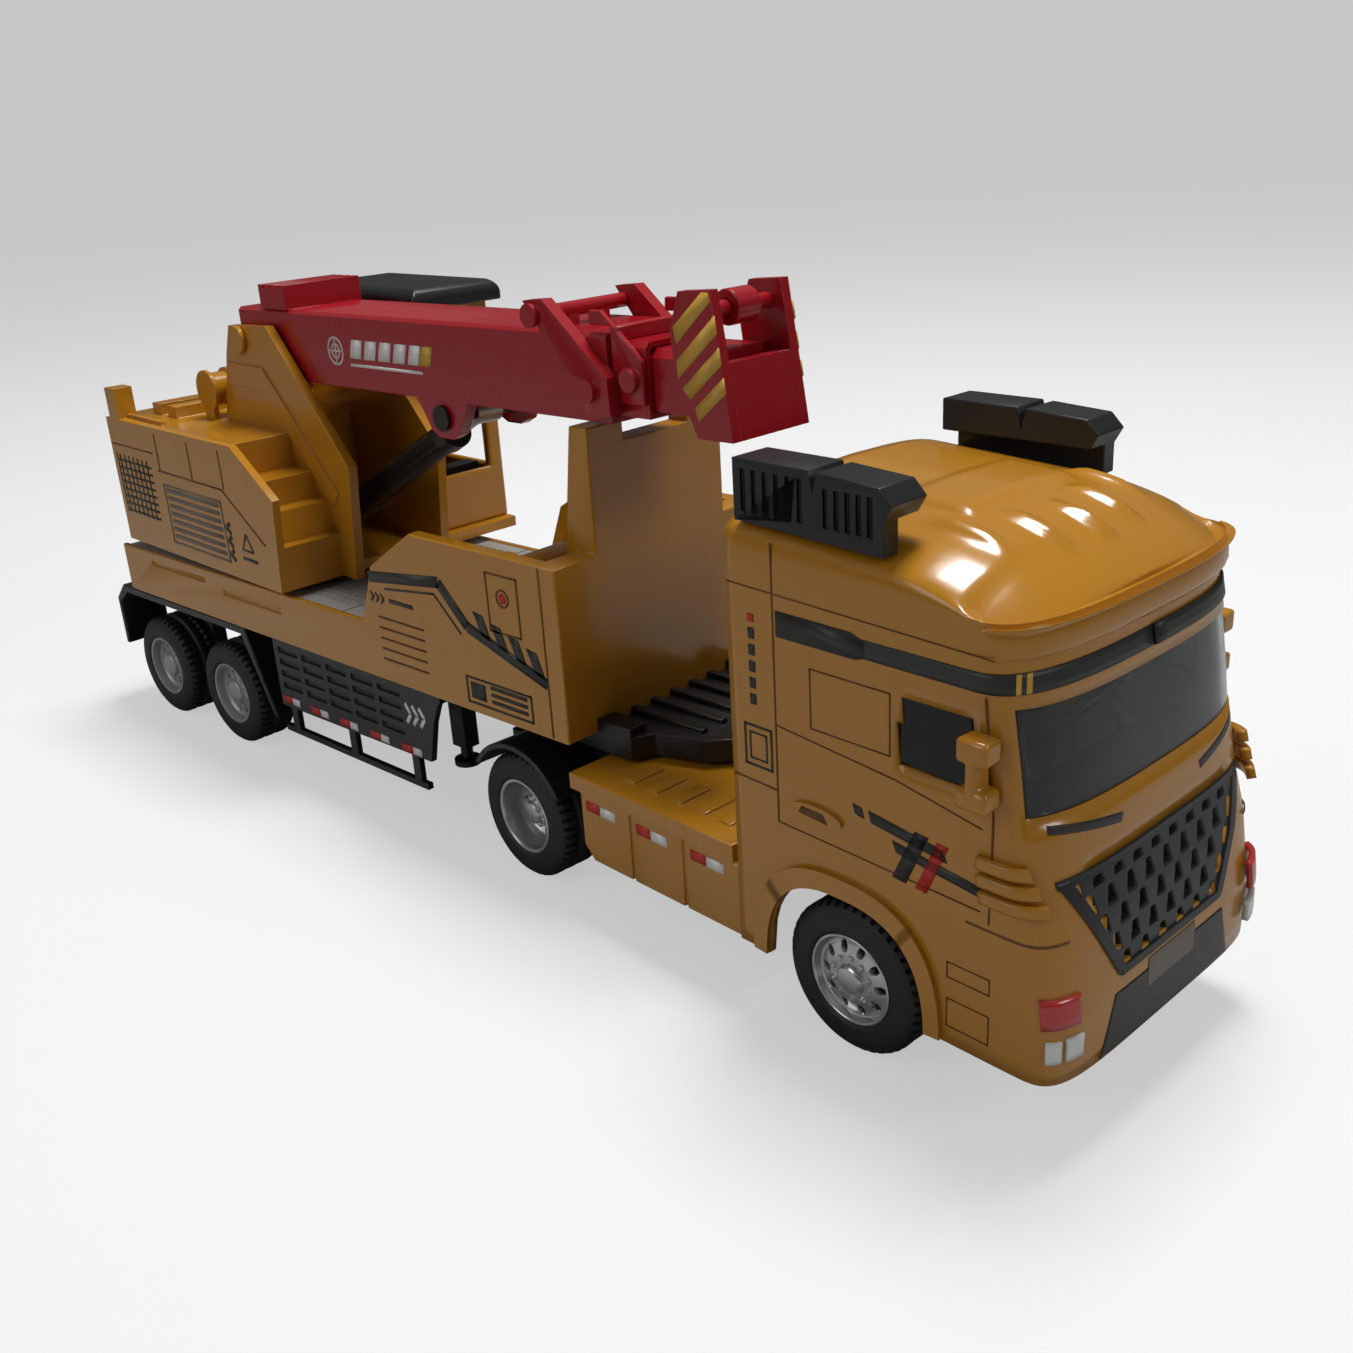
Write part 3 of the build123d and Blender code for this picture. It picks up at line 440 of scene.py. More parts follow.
def rimMesh(name, x, side, style, place):
    # face profile carried round the axle, with hand holes and nuts pressed in by angle, closed behind
    face = np.array(style["face"])
    step = np.concatenate([[0], np.cumsum(np.hypot(*np.diff(face, axis=0).T))])
    fine = np.linspace(0, step[-1], 70)
    front = np.stack([np.interp(fine, step, face[:, 0]), np.interp(fine, step, face[:, 1])], 1)
    back = np.array([(0.02, -wheelSizes["width"] + 0.6), (2.3, -wheelSizes["width"] + 0.6),
                     (6.2, -wheelSizes["width"] + 0.6), (6.38, -wheelSizes["width"] + 0.4)])
    loop = np.concatenate([front, back])
    angle = np.linspace(0, 2 * np.pi, 240, endpoint=False)
    turn, radius = np.meshgrid(angle, loop[:, 0], indexing="ij")
    depth = np.broadcast_to(loop[:, 1], turn.shape).copy()
    isFront = np.broadcast_to(np.arange(len(loop)) < len(front), turn.shape)
    pitch = 2 * np.pi / style["holes"]
    around = ((turn + pitch / 2) % pitch - pitch / 2) * radius
    away = np.hypot(around / style["holeSize"][0], (radius - style["holeRing"]) / style["holeSize"][1])
    hole = (1 - smoothStep(0.8, 1.05, away)) * isFront
    nutPitch = 2 * np.pi / style["nuts"]
    nutAround = ((turn + nutPitch) % nutPitch - nutPitch / 2) * radius
    nutAway = np.hypot(nutAround, radius - style["nutRing"])
    nut = (1 - smoothStep(0.28, 0.42, nutAway)) * isFront
    depth = depth - style["holeDepth"] * hole + 0.38 * nut
    outer = wheelSizes["outer"] - 0.25
    points = np.stack([x + radius * np.cos(turn), side * (outer + depth), 10.7 + radius * np.sin(turn)], -1)
    # the hand holes are marked for painted shade, darkened to near black by the rim finish
    mesh = gridMesh(name, points, place, True, True, None, smoothStep(0.4, 0.9, hole))
    tidyNormals(mesh, 1e-7)
    return mesh


wheelPlaces = (("trailer_rear", -101.1, onTrailer, "trailer", dullSilver, "grey_rim"),
               ("trailer_mid", -74.4, onTrailer, "trailer", dullSilver, "grey_rim"),
               ("drive", -1.2, onTractor, "drive", silver, "silver_rim"),
               ("steer", 67.4, onTractor, "steer", silver, "silver_rim"))
for wheelName, axleX, place, styleName, rimMaterial, rimSlot in wheelPlaces:
    body = wheelName + "_wheels"
    for side, tag in ((-1, "Right"), (1, "Left")):
        finishPiece(wheelName + "Tyre" + tag, tyreMesh("tyre", axleX, side, place), rubber, body,
                    (wheelName + "_tyres",), 30)
        finishPiece(wheelName + "Rim" + tag, rimMesh("rim", axleX, side, rimStyles[styleName], place),
                    rimMaterial,
                    body, (wheelName + "_rims",), 40)
print("wheels made")

# tractor cab skin
cabSizes = {"rear": 49.6, "half": 24.0, "corner": 8.0, "wall": 1.1, "roofTop": 72.5}
cabFrontAt = np.array([(9.4, 98.6), (10.5, 99.0), (19, 99.0), (28, 97.9), (34.3, 96.6), (42.5, 96.0),
                       (48, 95.3),
                       (54.8, 94.2), (58.5, 93.4), (59.8, 93.3), (60.6, 94.0), (61.3, 94.2), (63, 94.0),
                       (64.7, 93.3)])


def cabFront(z):
    # how far forward the middle of the cab is at each height
    return np.interp(z, cabFrontAt[:, 0], cabFrontAt[:, 1])


def cabPower(z):
    # how square the front corners are: squarer at the bumper than at the screen
    return np.interp(z, [12, 28, 42, 60, 66], [5.4, 4.6, 2.9, 2.9, 3.1])


def cabFrontX(y, z, out=0.0):
    # superellipse across the front at one height
    n = cabPower(z)
    ratio = np.clip(np.abs(y) / cabSizes["half"], 0, 1)
    return cabFront(z) - cabSizes["corner"] + (cabSizes["corner"] + out) * (1 - ratio ** n) ** (1 / n)


def cabOutline(z, sideX):
    # half outline from the rear to the front centre: straight side, then superellipse quarter
    bend = np.linspace(0, 1, 22) ** 0.9 * np.pi / 2
    n = cabPower(z)[..., None]
    front = cabFront(z)[..., None]
    arcX = front - cabSizes["corner"] + cabSizes["corner"] * np.sin(bend) ** (2 / n)
    arcY = cabSizes["half"] * np.clip(np.cos(bend), 0, 1) ** (2 / n)
    reach = (sideX - cabSizes["rear"]) / (sideX[-1] - cabSizes["rear"])
    lineX = cabSizes["rear"] + reach * (front - cabSizes["corner"] - cabSizes["rear"])
    lineX = np.where(sideX < 88, np.minimum(sideX, lineX), lineX)
    lineY = np.full_like(lineX, cabSizes["half"])
    return np.concatenate([lineX, arcX[..., 1:]], -1), np.concatenate([lineY, arcY[..., 1:]], -1)


def roofHeight(x, y):
    # domed roof falling to the visor, with the hatch pad and the pressed ribs on top
    dome = cabSizes["roofTop"] - 4.0 * (np.abs(y) / 24.0) ** 4 - 0.05 * np.clip(x - 50, 0, 30)
    dome = dome - 7.0 * np.clip((x - 75) / 18.6, 0, 1) ** 2.1
    pad = smoothStep(65.5, 66.3, x) * (1 - smoothStep(75.6, 76.4, x)) * (1 - smoothStep(10.2, 11,
            np.abs(y)))
    ribs = 0
    for centre, start, end in ((-14, 72, 84), (-7, 77, 88), (0, 79, 89), (7, 77, 88), (14, 72, 84)):
        ribs = ribs + smoothStep(start, start + 4, x) * (1 - smoothStep(end - 3, end, x)) * np.exp(
            -((y - centre) / 1.1) ** 2)
    return dome + 0.7 * pad + 0.9 * ribs


def archHeight(x):
    # bottom edge of the side: a flattened arch over the front wheel
    reach = np.clip(1 - (np.abs(x - 67.9) / 12.9) ** 2.6, 0, None) ** (1 / 2.6)
    return np.maximum(10.2, 9.0 + 14.9 * reach)


sideColumns = np.array([49.6, 51, 53, 54.6, 55.0, 55.5, 56.2, 57, 58, 59.2, 60.5, 61.8, 63.1, 65.4, 66.4,
                        67.6, 69, 71,
                        73, 75.3, 76.6, 77.8, 78.8, 79.6, 80.2, 80.7, 81.2, 83, 85, 86.6, 88])
lowRows = np.linspace(0, 1, 9)
highRows = np.array([30.5, 32.5, 34.3, 37, 39.5, 42.5, 44.6, 47, 50, 53.2, 54.8, 56.5, 58.5, 59.3, 59.8,
                     60.2, 60.6,
                     61.3, 62.2, 63.2, 64.3])


def cabHalf(side):
    # rows rise from the sill to the roof edge, then draw in over the roof towards the rear centre
    zRows = np.concatenate([10.2 + lowRows * 18.3, highRows])
    x, y = cabOutline(zRows, sideColumns)
    z = np.broadcast_to(zRows[:, None], x.shape).copy()
    base = archHeight(x)
    isSide = np.arange(x.shape[1]) < len(sideColumns)
    z[:9] = np.where(isSide, base[:9] + lowRows[:, None] * (28.5 - base[:9]), z[:9])
    edgeZ = roofHeight(x[-1], y[-1])
    lift = np.linspace(0, 1, 8)[1:, None]
    riseX = np.repeat(x[-1][None], 7, 0)
    riseY = np.repeat(y[-1][None], 7, 0)
    riseZ = z[-1] + (edgeZ - z[-1]) * lift
    drawIn = 1.6 * (1 - np.sqrt(np.clip(1 - (lift * 0.9) ** 3, 0, 1)))
    riseY = riseY * (1 - drawIn / 24)
    riseX = np.where(riseX > 85, riseX - drawIn, riseX)
    flatY = np.linspace(0, 1, 40)[1:, None]
    roofX = riseX[-1] * np.ones_like(flatY)
    roofY = riseY[-1] * (1 - flatY)
    roofZ = roofHeight(roofX, roofY) + (riseZ[-1] - roofHeight(riseX[-1], riseY[-1])) * (1 - flatY)
    allX = np.concatenate([x, riseX, roofX])
    allY = np.concatenate([y, riseY, roofY]) * side
    allZ = np.concatenate([z, riseZ, roofZ])
    return np.stack([allX, allY, allZ], -1)


def cabKeep(points):
    # openings left for the screen, the door windows, the grille and the lower grille
    middle = (points[:-1, :-1] + points[1:, :-1] + points[1:, 1:] + points[:-1, 1:]) / 4
    x, y, z = middle[..., 0], np.abs(middle[..., 1]), middle[..., 2]
    screen = (x > 89.5) & (y < 22.4) & (z > 42.5) & (z < 54.8)
    door = (x > 76.6) & (x < 87) & (y > 23.5) & (z > 44.6) & (z < 53.2)
    grille = (x > 90) & (z > 22.3) & (z < 33.6) & (y < 9.2 + 0.6 * (z - 21.2))
    return ~(screen | door | grille)


rightHalf, leftHalf = cabHalf(-1), cabHalf(1)
cabPoints = np.concatenate([rightHalf, leftHalf[:, ::-1][:, 1:]], 1)
skin = gridMesh("cabSkin", cabPoints, onTractor, False, False, cabKeep(cabPoints))
tidyNormals(skin, 4e-6)
skinPiece = finishPiece("cabSkin", skin, yellow, "tractor", ("cab_shell",), 40)
skinWall = skinPiece.modifiers.new("wall", "SOLIDIFY")
skinWall.thickness = cabSizes["wall"] * 0.001
skinWall.offset = -1
# rear wall: the roof's own outline carried down to the deck
wallSpan = np.linspace(-23.4, 23.4, 33)
wallOutline = [(-23.4, 22), (23.4, 22)] + [(y, roofHeight(50.2, y) - 0.7) for y in wallSpan[::-1]]
rearWall = plateMesh("cabRearWall", [wallOutline], frontLift(49.75, 1.0), onTractor)
finishPiece("cabRearWall", rearWall, yellow, "tractor", (), 35)
print("cab skin made")


def frontPatch(name, corners, out, thickness, material, replaced=(), relief=None, count=(60, 24)):
    # bilinear patch between four y, z corners, laid on the cab front and raised by out
    u = np.linspace(0, 1, count[0])[:, None]
    v = np.linspace(0, 1, count[1])[None, :]
    (a, b, c, d) = [np.array(corner, float) for corner in corners]
    y = (1 - v) * ((1 - u) * a[0] + u * b[0]) + v * ((1 - u) * d[0] + u * c[0])
    z = (1 - v) * ((1 - u) * a[1] + u * b[1]) + v * ((1 - u) * d[1] + u * c[1])
    inside = smoothStep(0.02, 0.035, np.minimum(u, 1 - u)) * smoothStep(0.03, 0.05, np.minimum(v, 1 - v))
    # relief dents the patch and also marks the dents for painted shade in the finish
    pitAndShade = np.zeros_like(y) if relief is None else relief(y, z) * inside
    points = np.stack([cabFrontX(y, z, out) - 0.9 * pitAndShade, y, z], -1)
    mesh = gridMesh(name, points, onTractor, False, False, None, pitAndShade)
    tidyNormals(mesh)
    piece = finishPiece(name, mesh, material, "tractor", replaced, 50)
    shell = piece.modifiers.new("wall", "SOLIDIFY")
    shell.thickness = thickness * 0.001
    shell.offset = -1
    return piece


def teardrops(y, z):
    # staggered rows of pits, pointed at the top
    row = np.floor((z - 20.2) / 3.0)
    up = (z - 20.2) / 3.0 - row
    across = (y / 4.0 + 0.5 * (row % 2)) % 1.0 - 0.5
    width = 0.26 * (1 - 0.75 * up)
    return (1 - smoothStep(width * 0.75, width + 0.05, np.abs(across))) * smoothStep(0.08, 0.2, up) * (
        1 - smoothStep(0.78, 0.9, up))


frontPatch("screenPane", [(-22.3, 42.3), (22.3, 42.3), (22.2, 55), (-22.2, 55)], -0.3, 0.7, clearGlass,
           ("windscreen",))
# the grille's pits take painted shade from its finish
frontPatch("grilleFace", [(-11.2, 20.8), (11.2, 20.8), (19.6, 34.6), (-19.6, 34.6)], 0.08, 0.8, grilleBlack,
           ("grille",), teardrops, (300, 110))
for side, tag in ((-1, "Right"), (1, "Left")):
    # solid black rim down each slanting side of the grille
    frontPatch("grilleRim" + tag, [(side * 10.4, 20.6), (side * 11.9, 20.6), (side * 20.5, 34.8),
                                   (side * 18.6, 34.8)], 0.35,
               0.9, black)
frontPatch("grilleRimTop", [(-20.3, 33.9), (20.3, 33.9), (20.4, 34.9), (-20.4, 34.9)], 0.35, 0.9, black)
frontPatch("grilleRimLow", [(-11.6, 20.3), (11.6, 20.3), (11.9, 21.3), (-11.9, 21.3)], 0.35, 0.9, black)
frontPatch("lowerGrille", [(-15.1, 10.6), (15.1, 10.6), (12.6, 18.2), (-12.6, 18.2)], 0.06, 0.8, black,
           ("lower_grille",))
frontPatch("blankPlate", [(-5.4, 15.6), (5.4, 15.6), (5.4, 19.6), (-5.4, 19.6)], 0.09, 0.3, greyPrint)
print("cab front made")

# softened CAD pieces
softList = (("trailer_body", yellow, "yellow_plastic", "trailer", 0.5),
            ("crane_house", yellow, "yellow_plastic", "house", 0.45),
            ("operator_cab", yellow, "yellow_plastic", "house", 0.5),
            ("outer_boom", red, "red_plastic", "boom", 0.35),
            ("outer_collar", red, "red_plastic", "boom", 0.3),
            ("middle_collar", red, "red_plastic", "boom_middle", 0.2),
            ("boom_head", red, "red_plastic", "boom_inner", 0.35),
            ("tractor_deck", yellow, "yellow_plastic", "tractor", 0.4),
            ("roof_fairing_right", black, "black_plastic", "tractor", 0.4),
            ("roof_fairing_left", black, "black_plastic", "tractor", 0.4),
            ("mirror_right", yellow, "yellow_plastic", "tractor", 0.5),
            ("mirror_left", yellow, "yellow_plastic", "tractor", 0.5),
            ("coupling_nose", black, "black_plastic", "trailer", 0.35),
            ("winch_drum", yellow, "yellow_plastic", "trailer", 0.35),
            ("hoist_winch", yellow, "yellow_plastic", "house", 0.25),
            ("lug_studs", black, "black_plastic", "boom", 0.15),
            ("boom_pivot_pin", yellow, "yellow_plastic", "house", 0.2),
            ("head_sheave", red, "red_plastic", "boom_inner", 0.2),
            ("operator_cab_roof", black, "black_plastic", "house", 0.3),
            ("mudguard_right", black, "black_plastic", "tractor", 0.2),
            ("mudguard_left", black, "black_plastic", "tractor", 0.2),
            ("wheel_guard_right", black, "black_plastic", "trailer", 0.3),
            ("wheel_guard_left", black, "black_plastic", "trailer", 0.3),
            ("side_skirt_right", black, "black_plastic", "trailer", 0.15),
            ("side_skirt_left", black, "black_plastic", "trailer", 0.15),
            ("ram_barrel", black, "black_plastic", "barrel", 0.2))
for node, material, slotName, body, width in softList:
    softened(node, material, body, width)
for node in ("trailer_frame", "landing_legs", "tractor_frame", "fifth_wheel", "cab_interior",
             "cab_back_panel",
             "operator_seat"):
    paint(node, black)
for node in ("middle_boom", "inner_boom"):
    paint(node, red)
for node in ("kingpin", "ram_rod", "ram_base_pin", "slew_retainer", "trailer_screws",
             "trailer_rear_axle", "trailer_mid_axle", "drive_axle", "steer_axle"):
    paint(node, steel)
paint("deck_plate", deckGrey)
paint("side_windows", darkGlass)
print("CAD pieces finished")

# lamps and trim that wrap round the cab corner
def cabWrap(t, z, side, out):
    # t runs from the side (negative) round the corner at 0 to the front centre at 1
    n = cabPower(z)
    bend = np.clip(t, 0, 1) * np.pi / 2
    x = cabFront(z) - cabSizes["corner"] + (cabSizes["corner"] + out) * np.sin(bend) ** (2 / n)
    x = np.where(t < 0, cabFront(z) - cabSizes["corner"] + 38 * t, x)
    y = (cabSizes["half"] + out) * np.clip(np.cos(bend), 0, 1) ** (2 / n)
    return np.stack([x, side * y, z], -1)


def wrapPatch(name, corners, side, out, thickness, material, replaced=(), count=(24, 5)):
    # bilinear patch between four t, z corners on the cab's wrapping front
    u = np.linspace(0, 1, count[0])[:, None]
    v = np.linspace(0, 1, count[1])[None, :]
    (a, b, c, d) = [np.array(corner, float) for corner in corners]
    t = (1 - v) * ((1 - u) * a[0] + u * b[0]) + v * ((1 - u) * d[0] + u * c[0])
    z = (1 - v) * ((1 - u) * a[1] + u * b[1]) + v * ((1 - u) * d[1] + u * c[1])
    mesh = gridMesh(name, cabWrap(t, z, side, out), onTractor)
    tidyNormals(mesh)
    piece = finishPiece(name, mesh, material, "tractor", replaced, 50)
    shell = piece.modifiers.new("wall", "SOLIDIFY")
    shell.thickness = thickness * 0.001
    shell.offset = -1 if side < 0 else 1
    return piece


cabTrim = {"bandLow": 56.3, "bandHigh": 58.5, "lampLift": 0.35, "lampDepth": 0.8, "printLift": 0.07}
for side, tag in ((-1, "Right"), (1, "Left")):
    lift, deep = cabTrim["lampLift"], cabTrim["lampDepth"]
    wrapPatch("markerLamp" + tag, [(0.2, 17.9), (0.62, 17.9), (0.62, 21.6), (0.2, 21.6)], side, lift, deep,
              lampRed, ("marker_lamps",))
    for number, (start, end) in enumerate(((0.26, 0.44), (0.5, 0.66))):
        wrapPatch(f"headlamp{tag}{number}", [(start, 13.4), (end, 13.4), (end, 16.2), (start, 16.2)], side,
                  lift, deep,
                  lampWhite, ("headlamps",))
    low, high, thin = cabTrim["bandLow"], cabTrim["bandHigh"], cabTrim["printLift"]
    wrapPatch("screenBand" + tag, [(-0.44, low + 0.1), (1, low), (1, high + 0.2), (-0.44, high + 0.2)],
              side, thin, 0.3,
              darkPrint, (), (60, 4))
    for number, start in enumerate((0.3, 0.37)):
        wrapPatch(f"bandSlash{tag}{number}", [(start, low + 0.1), (start + 0.035, low + 0.1),
                                              (start + 0.06, high + 0.1),
                                              (start + 0.025, high + 0.1)], side, thin + 0.06, 0.2,
                  goldPrint)
    frontPatch("underScreen" + tag, [(side * 20.6, 40.4), (side * 9, 38.2), (side * 8.6, 39.3),
                                     (side * 20.6, 41.5)], thin,
               0.3, darkPrint, (), None, (24, 4))
    for number in range(3):
        base = 31.6 + 2.1 * number
        wrapPatch(f"cornerLouvre{tag}{number}", [(-0.02, base), (0.42 - 0.06 * number, base),
                                                 (0.4 - 0.06 * number, base + 1.4), (-0.02, base + 1.4)],
                  side, 0.9, 1.2, yellow)
    wrapPatch("bumperSeam" + tag, [(-0.1, 27.8), (0.55, 27.8), (0.55, 28.1), (-0.1, 28.1)], side, 0.05, 0.2,
              seamAndShadePrint)

# printing and pressed lines on both flanks of the tractor
flankPrints = {"thickness": 0.09}
for side, tag in ((-1, "Right"), (1, "Left")):
    flank = sideLift(side * cabSizes["half"], flankPrints["thickness"])
    lines = strokes([(57.4, 67.6), (57.4, 30.8)], 0.2) + strokes([(49.8, 35.4), (57.4, 35.2)], 0.2)
    lines += strokes([(57.4, 44.2), (76, 42.6), (88, 40.4)], 0.16) + strokes([(57.4, 30.8), (88, 30)], 0.16)
    lines += strokes([(88, 56), (89.4, 42), (89.2, 28.8)], 0.2) + strokes([(49.8, 61.5), (57.4, 61.3),
            (89, 60.4)], 0.16)
    lines += frameLines(63.1, 75.3, 45.3, 53.2, 0.16) + frameLines(83.6, 89.6, 19.4, 21.6, 0.14)
    lines += frameLines(83.6, 89.6, 12.6, 16.6, 0.14)
    printed("doorLines" + tag, lines, flank, onTractor, seamAndShadePrint, "tractor")
    dark = [[(57.9, 56), (70.2, 56), (71.6, 56.5), (71.6, 58.4), (69.6, 59.2), (57.9, 59.3)]]
    dark += frameLines(51.9, 56.7, 37.4, 43.2, 0.3) + frameLines(52.8, 55.8, 38.4, 42.2, 0.22)
    dark += [bar(53.2, 54.2, z, z + 1.4) for z in (46, 48.2, 50.4, 52.6, 54.8)]
    dark += [[(72.4, 35.8), (83.4, 34.4), (82.8, 35.9), (72, 37.3)],
             [(76.2, 33.2), (88.6, 31.7), (88, 33.1), (75.6, 34.6)],
             [(78.8, 36.9), (80.8, 36.7), (77.6, 29.6), (75.6, 29.8)],
             [(70, 36.2), (71.4, 36), (71, 37.3), (69.6, 37.5)]]
    printed("flankGraphic" + tag, dark, flank, onTractor, darkPrint, "tractor")
    printed("flankAccent" + tag, [[(82, 36.6), (83.6, 36.4), (80.6, 29.4), (79, 29.6)],
                                  bar(53.2, 54.2, 57, 58)], flank,
            onTractor, redPrint, "tractor")
    angle = np.linspace(0, 2 * np.pi, 25)[:-1]
    oval = [(63.9 + 4.2 * np.cos(a), 34 + 1.3 * np.sin(a)) for a in angle]
    grip = plateMesh("doorHandle" + tag, [oval], sideLift(side * cabSizes["half"], 0.5), onTractor)
    finishPiece("doorHandle" + tag, grip, yellow, "tractor", (), 30)
    # painted shade on the door handle's grip, in the seam colour
    printed("handleShade" + tag, [[(61.2, 33.7), (66, 33.4), (65.2, 34.6), (61.8, 34.7)]],
            sideLift(side * (cabSizes["half"] + 0.5), 0.05), onTractor, seamAndShadePrint, "tractor")
    spread = np.linspace(0.04, np.pi - 0.04, 33)
    c, h = np.sign(np.cos(spread)) * np.abs(np.cos(spread)) ** (2 / 2.6), np.sin(spread) ** (2 / 2.6)
    inner = np.stack([67.9 + 12.9 * c, np.maximum(9 + 14.9 * h, 10.3)], 1)
    outer = np.stack([67.9 + 15.2 * c, np.maximum(9 + 17.6 * h, 10.3)], 1)
    archShapes = [[tuple(inner[k]), tuple(inner[k + 1]), tuple(outer[k + 1]),
                   tuple(outer[k])] for k in range(32)]
    flare = plateMesh("archFlare" + tag, archShapes, sideLift(side * cabSizes["half"], 0.7), onTractor)
    finishPiece("archFlare" + tag, flare, yellow, "tractor", (), 35)
    skirt = sideLift(side * 23.6, 0.08)
    printed("skirtReflectors" + tag, [bar(x, x + 3.2, 18.6, 20.2) for x in (17.2, 28.4, 39.8)], skirt,
            onTractor,
            redPrint, "tractor")
    printed("skirtReflectorsPale" + tag, [bar(x, x + 3.4, 18.6, 20.2) for x in (20.4, 31.6, 43)], skirt,
            onTractor,
            whitePrint, "tractor")

# printing on the trailer flanks
for side, tag in ((-1, "Right"), (1, "Left")):
    flank = sideLift(side * 23.0, 0.09)
    slope = lambda x: 42.6 - 0.3 * (x - 6.6)
    stripe = strokes([(-18.2, 45.9), (0.9, 48.2), (7.2, 42.0), (25.2, 36.4)],
                     1.9) + strokes([(-14, 44.4), (-0.6, 46), (5.4, 40.4)], 0.35)
    stripe += [[(x, slope(x)), (x + 2.3, slope(x + 2.3)), (x + 0.7, slope(x) + 3.2),
                (x - 1.6, slope(x) + 3.6)]
               for x in (10.6, 14.6, 18.6, 22.6)]
    stripe += frameLines(5.3, 21.2, 28.8, 33.5, 0.35) + [bar(6.4, 10, 29.8, 32.6)]
    stripe += [bar(11.4, 20, z, z + 0.6) for z in (29.9, 31.1, 32.3)]
    stripe += sum([strokes([(x, 43.2), (x + 0.9, 42.4), (x, 41.6)], 0.4) for x in (-18.4, -17, -15.6)], [])
    stripe += [bar(-13.2, -6.8, 42.1, 42.8)]
    printed("trailerStripe" + tag, stripe, flank, onTrailer, darkPrint, "trailer")
    lines = [bar(-17, -4.6, z, z + 0.34) for z in (31.2, 33.1, 35, 36.9, 38.8)]
    lines += frameLines(12.9, 20.3, 42.5, 52.2, 0.3) + strokes([(25.4, 27.6), (25.4, 54.8)], 0.3)
    lines += ring(16.6, 48.4, 1.5, 0.3)
    printed("trailerLines" + tag, lines, flank, onTrailer, seamAndShadePrint, "trailer")
    printed("trailerDot" + tag, [[(16.6 + 0.8 * np.cos(a), 48.4 + 0.8 * np.sin(a)) for a in np.linspace(0,
            5.98, 20)]],
            flank, onTrailer, redPrint, "trailer")
    skirt = sideLift(side * 23.0, 0.08)
    starts = (-53, -43.6, -34.2, -24.8, -15.4)
    printed("guardReflectors" + tag, [bar(x, x + 3.2, 14.5, 15.9) for x in starts], skirt, onTrailer,
            redPrint,
            "trailer")
    printed("guardReflectorsPale" + tag, [bar(x + 3.2, x + 5.6, 14.5, 15.9) for x in starts], skirt,
            onTrailer,
            whitePrint, "trailer")
    marks = sum([strokes([(x, 24), (x + 1.3, 22.2), (x, 20.4)], 0.75) for x in (-12.8, -10.9, -9)], [])
    printed("skirtChevrons" + tag, marks, skirt, onTrailer, whitePrint, "trailer")

# printing on the crane house and the boom
houseFlank = sideLift(-23.5, 0.09)
houseDark = strokes([(-103.2, 57.2), (-103.2, 44.7)], 0.3) + [bar(-103, -88, z,
        z + 0.45) for z in np.arange(45, 57, 1.5)]
houseDark += [bar(x, x + 0.4, 44.8, 57) for x in np.arange(-102, -88, 2.0)]
houseDark += sum([strokes([(-58.2, z), (-59.8, z + 1), (-58.2, z + 2)], 0.8) for z in (42, 44.6, 47.2)], [])
houseDark += strokes([(-54.6, 44.8), (-52.6, 48), (-50.6, 44.8), (-54.6, 44.8)],
                     0.4) + [bar(-55, -49.6, 42.8, 43.4)]
printed("houseMesh", houseDark, houseFlank, onCrane, darkPrint, "house")
houseGrey = frameLines(-83.8, -60.3, 41.2, 53.2, 0.4) + [bar(-82.6, -61.5, z,
                                                             z + 0.8) for z in np.arange(42.4, 52, 1.55)]
printed("houseLouvre", houseGrey, houseFlank, onCrane, greyPrint, "house")
houseLines = strokes([(-84.9, 55.7), (-59.2, 55.5), (-45.6, 47)], 0.35) + strokes([(-104.8, 59), (-86, 59)],
        0.3)
houseLines += sum([strokes([(x, 55.7), (x, 63)], 0.3) for x in (-84, -70.4, -58.1)], [])
printed("houseLines", houseLines, houseFlank, onCrane, seamAndShadePrint, "house")
boomPrints = {"roundel": (-38.0, 79.6, 2.5), "bars": (-33.6, -10.0)}
for side, tag in ((-1, "Right"), (1, "Left")):
    flank = sideLift(side * 8.0, 0.08)
    cx, cz, radius = boomPrints["roundel"]
    pale = ring(cx, cz, radius, 0.35) + ring(cx, cz, radius * 0.55, 0.3)
    pale += [bar(cx - radius, cx + radius, cz - 0.15, cz + 0.15),
             bar(cx - 0.15, cx + 0.15, cz - radius, cz + radius)]
    x0, x1 = boomPrints["bars"]
    pale += [[(x, 78.6), (x + 3.4, 78.6), (x + 4.6, 81.8), (x + 1.2, 81.8)] for x in np.arange(x0, x1 - 4,
            4.4)]
    pale += [bar(x0, x1 - 2, 77.2, 77.7)]
    printed("boomGraphic" + tag, pale, flank, onBoom, whitePrint, "boom")
    printed("boomAccent" + tag, [[(x1 - 3, 78.6), (x1 + 0.4, 78.6), (x1 + 1.6, 81.8), (x1 - 1.8, 81.8)]],
            flank, onBoom,
            goldPrint, "boom")
    headFlank = sideLift(side * 7.6, 0.08)
    bands = [[(47.3, 85.2), (53.9, 90.9), (53.6, 92), (52.4, 92), (46.8, 87.4)],
             [(47.2, 80.6), (54.8, 86.9), (54.5, 89.2), (47.1, 83)],
             [(49.3, 78.1), (55.3, 82.9), (55, 85.2), (47.9, 79.4)],
             [(50.6, 75.2), (55.9, 79.3), (55.6, 81.4), (50.1, 77)]]
    printed("headBands" + tag, bands, headFlank, onBoom, goldPrint, "boom_inner")

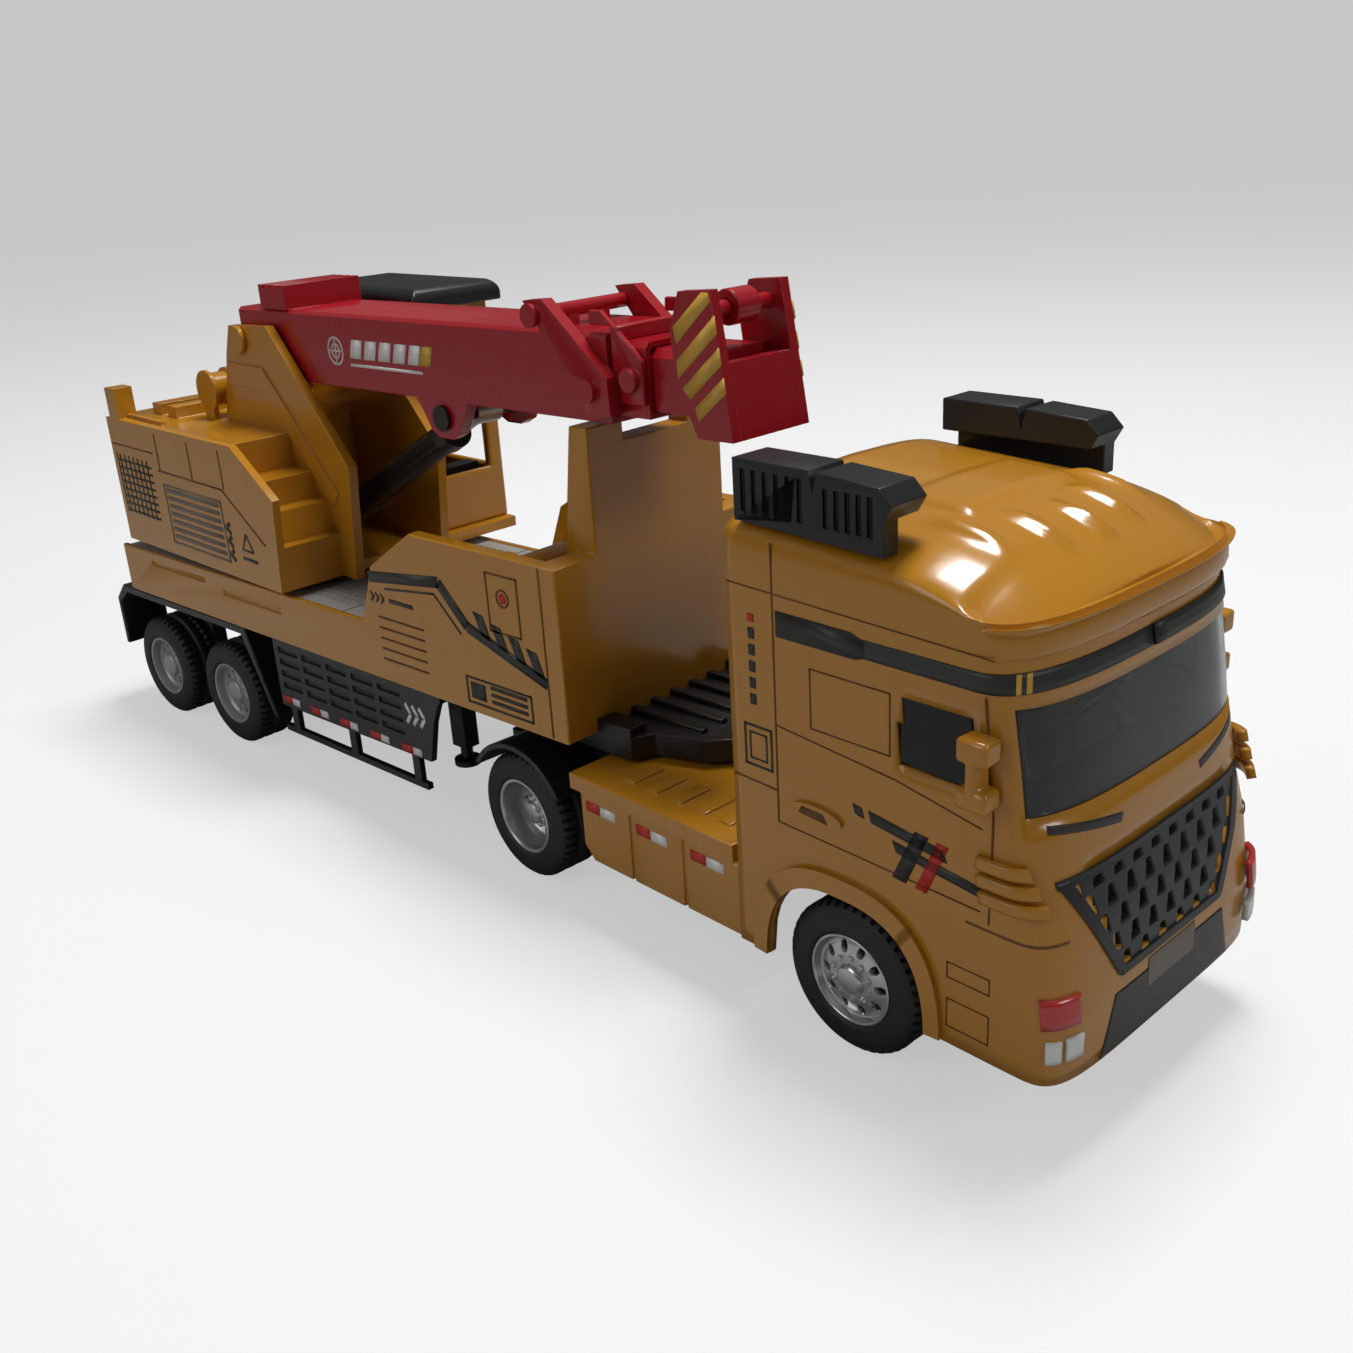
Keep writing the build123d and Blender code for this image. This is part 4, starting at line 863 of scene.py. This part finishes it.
# chequer studs on the deck
studs = {"pitch": 2.1, "long": 0.8, "wide": 0.32, "rise": 0.1}
studShapes = []
for row, y in enumerate(np.arange(-18.6, 18.7, studs["pitch"] / 1.3)):
    for x in np.arange(-106.4 + (row % 2) * studs["pitch"] / 2, 21, studs["pitch"]):
        if np.hypot(x + 76, y) > 14.6 and abs(x + 29.8) > 1.1:
            studShapes.append([(x - studs["long"], y), (x, y - studs["wide"]), (x + studs["long"], y),
                               (x, y + studs["wide"])])
printed("deckStuds", studShapes, topLift(37.0, studs["rise"]), onTrailer, deckGrey, "trailer")
print("printing and trim made")

# floor, lights, camera
# level floor out to 3 m, then curving gently up as a backdrop
reach, turn = np.meshgrid(np.linspace(0.001, 12, 60), np.linspace(0, 2 * np.pi, 64, endpoint=False),
                          indexing="ij")
rise = 0.045 * np.clip(reach - 3, 0, None) ** 2
floorMesh = gridMesh("floor", np.stack([reach * np.cos(turn), reach * np.sin(turn), rise], -1) * 1000,
                     Matrix.Identity(4), False, True)
tidyNormals(floorMesh)
floor = bpy.data.objects.new("floor", floorMesh)
bpy.context.scene.collection.objects.link(floor)
floorPaint = bpy.data.materials.new("paleFloor")
floorPaint.use_nodes = True
floorShader = floorPaint.node_tree.nodes["Principled BSDF"]
floorShader.inputs["Base Color"].default_value = (0.4, 0.4, 0.4, 1)
floorShader.inputs["Roughness"].default_value = 0.9
floorShader.inputs["Emission Color"].default_value = (1, 1, 1, 1)
rayKind = floorPaint.node_tree.nodes.new("ShaderNodeLightPath")
seenGlow = floorPaint.node_tree.nodes.new("ShaderNodeMath")
seenGlow.operation = "MULTIPLY"
seenGlow.inputs[1].default_value = 0.5  # the backdrop glows only where it is looked at
floorPaint.node_tree.links.new(rayKind.outputs["Is Camera Ray"], seenGlow.inputs[0])
floorPaint.node_tree.links.new(seenGlow.outputs[0], floorShader.inputs["Emission Strength"])
floorMesh.materials.append(floorPaint)

world = bpy.data.worlds.new("paleRoom")
bpy.context.scene.world = world
world.use_nodes = True
world.node_tree.nodes["Background"].inputs[0].default_value = (1, 1, 1, 1)
world.node_tree.nodes["Background"].inputs[1].default_value = 0.17

lightPlan = {"overhead": ((0.02, 0.14, 0.7), 0.22, 4.2), "front": ((0.75, 0.1, 0.5), 0.22, 1.0),
             "nearSide": ((-0.2, -0.8, 0.5), 0.5, 1.4)}
for lightName, (spot, size, power) in lightPlan.items():
    lamp = bpy.data.lights.new(lightName, "AREA")
    lamp.size = size
    lamp.energy = power
    holder = bpy.data.objects.new(lightName, lamp)
    bpy.context.scene.collection.objects.link(holder)
    holder.location = spot
    holder.rotation_euler = (Vector((0, 0, 0.04)) - Vector(spot)).to_track_quat("-Z", "Y").to_euler()

cameraPlan = {"place": (0.1737, -0.1476, 0.1146), "heading": 133.96, "dip": 21.67, "roll": -3.48,
              "lens": 36.97}
lens = bpy.data.cameras.new("camera")
lens.lens = cameraPlan["lens"]
lens.sensor_width = 36.0
lens.clip_start = 0.01
lens.shift_x = -0.0016
lens.shift_y = -0.005
camera = bpy.data.objects.new("camera", lens)
bpy.context.scene.collection.objects.link(camera)
turn = Matrix.Rotation(radians(cameraPlan["heading"] - 90), 4, "Z") @ Matrix.Rotation(
    radians(90 - cameraPlan["dip"]), 4, "X") @ Matrix.Rotation(radians(cameraPlan["roll"]), 4, "Z")
camera.matrix_world = Matrix.Translation(cameraPlan["place"]) @ turn
bpy.context.scene.camera = camera
bpy.context.scene.view_settings.view_transform = "Standard"
print("stage set")
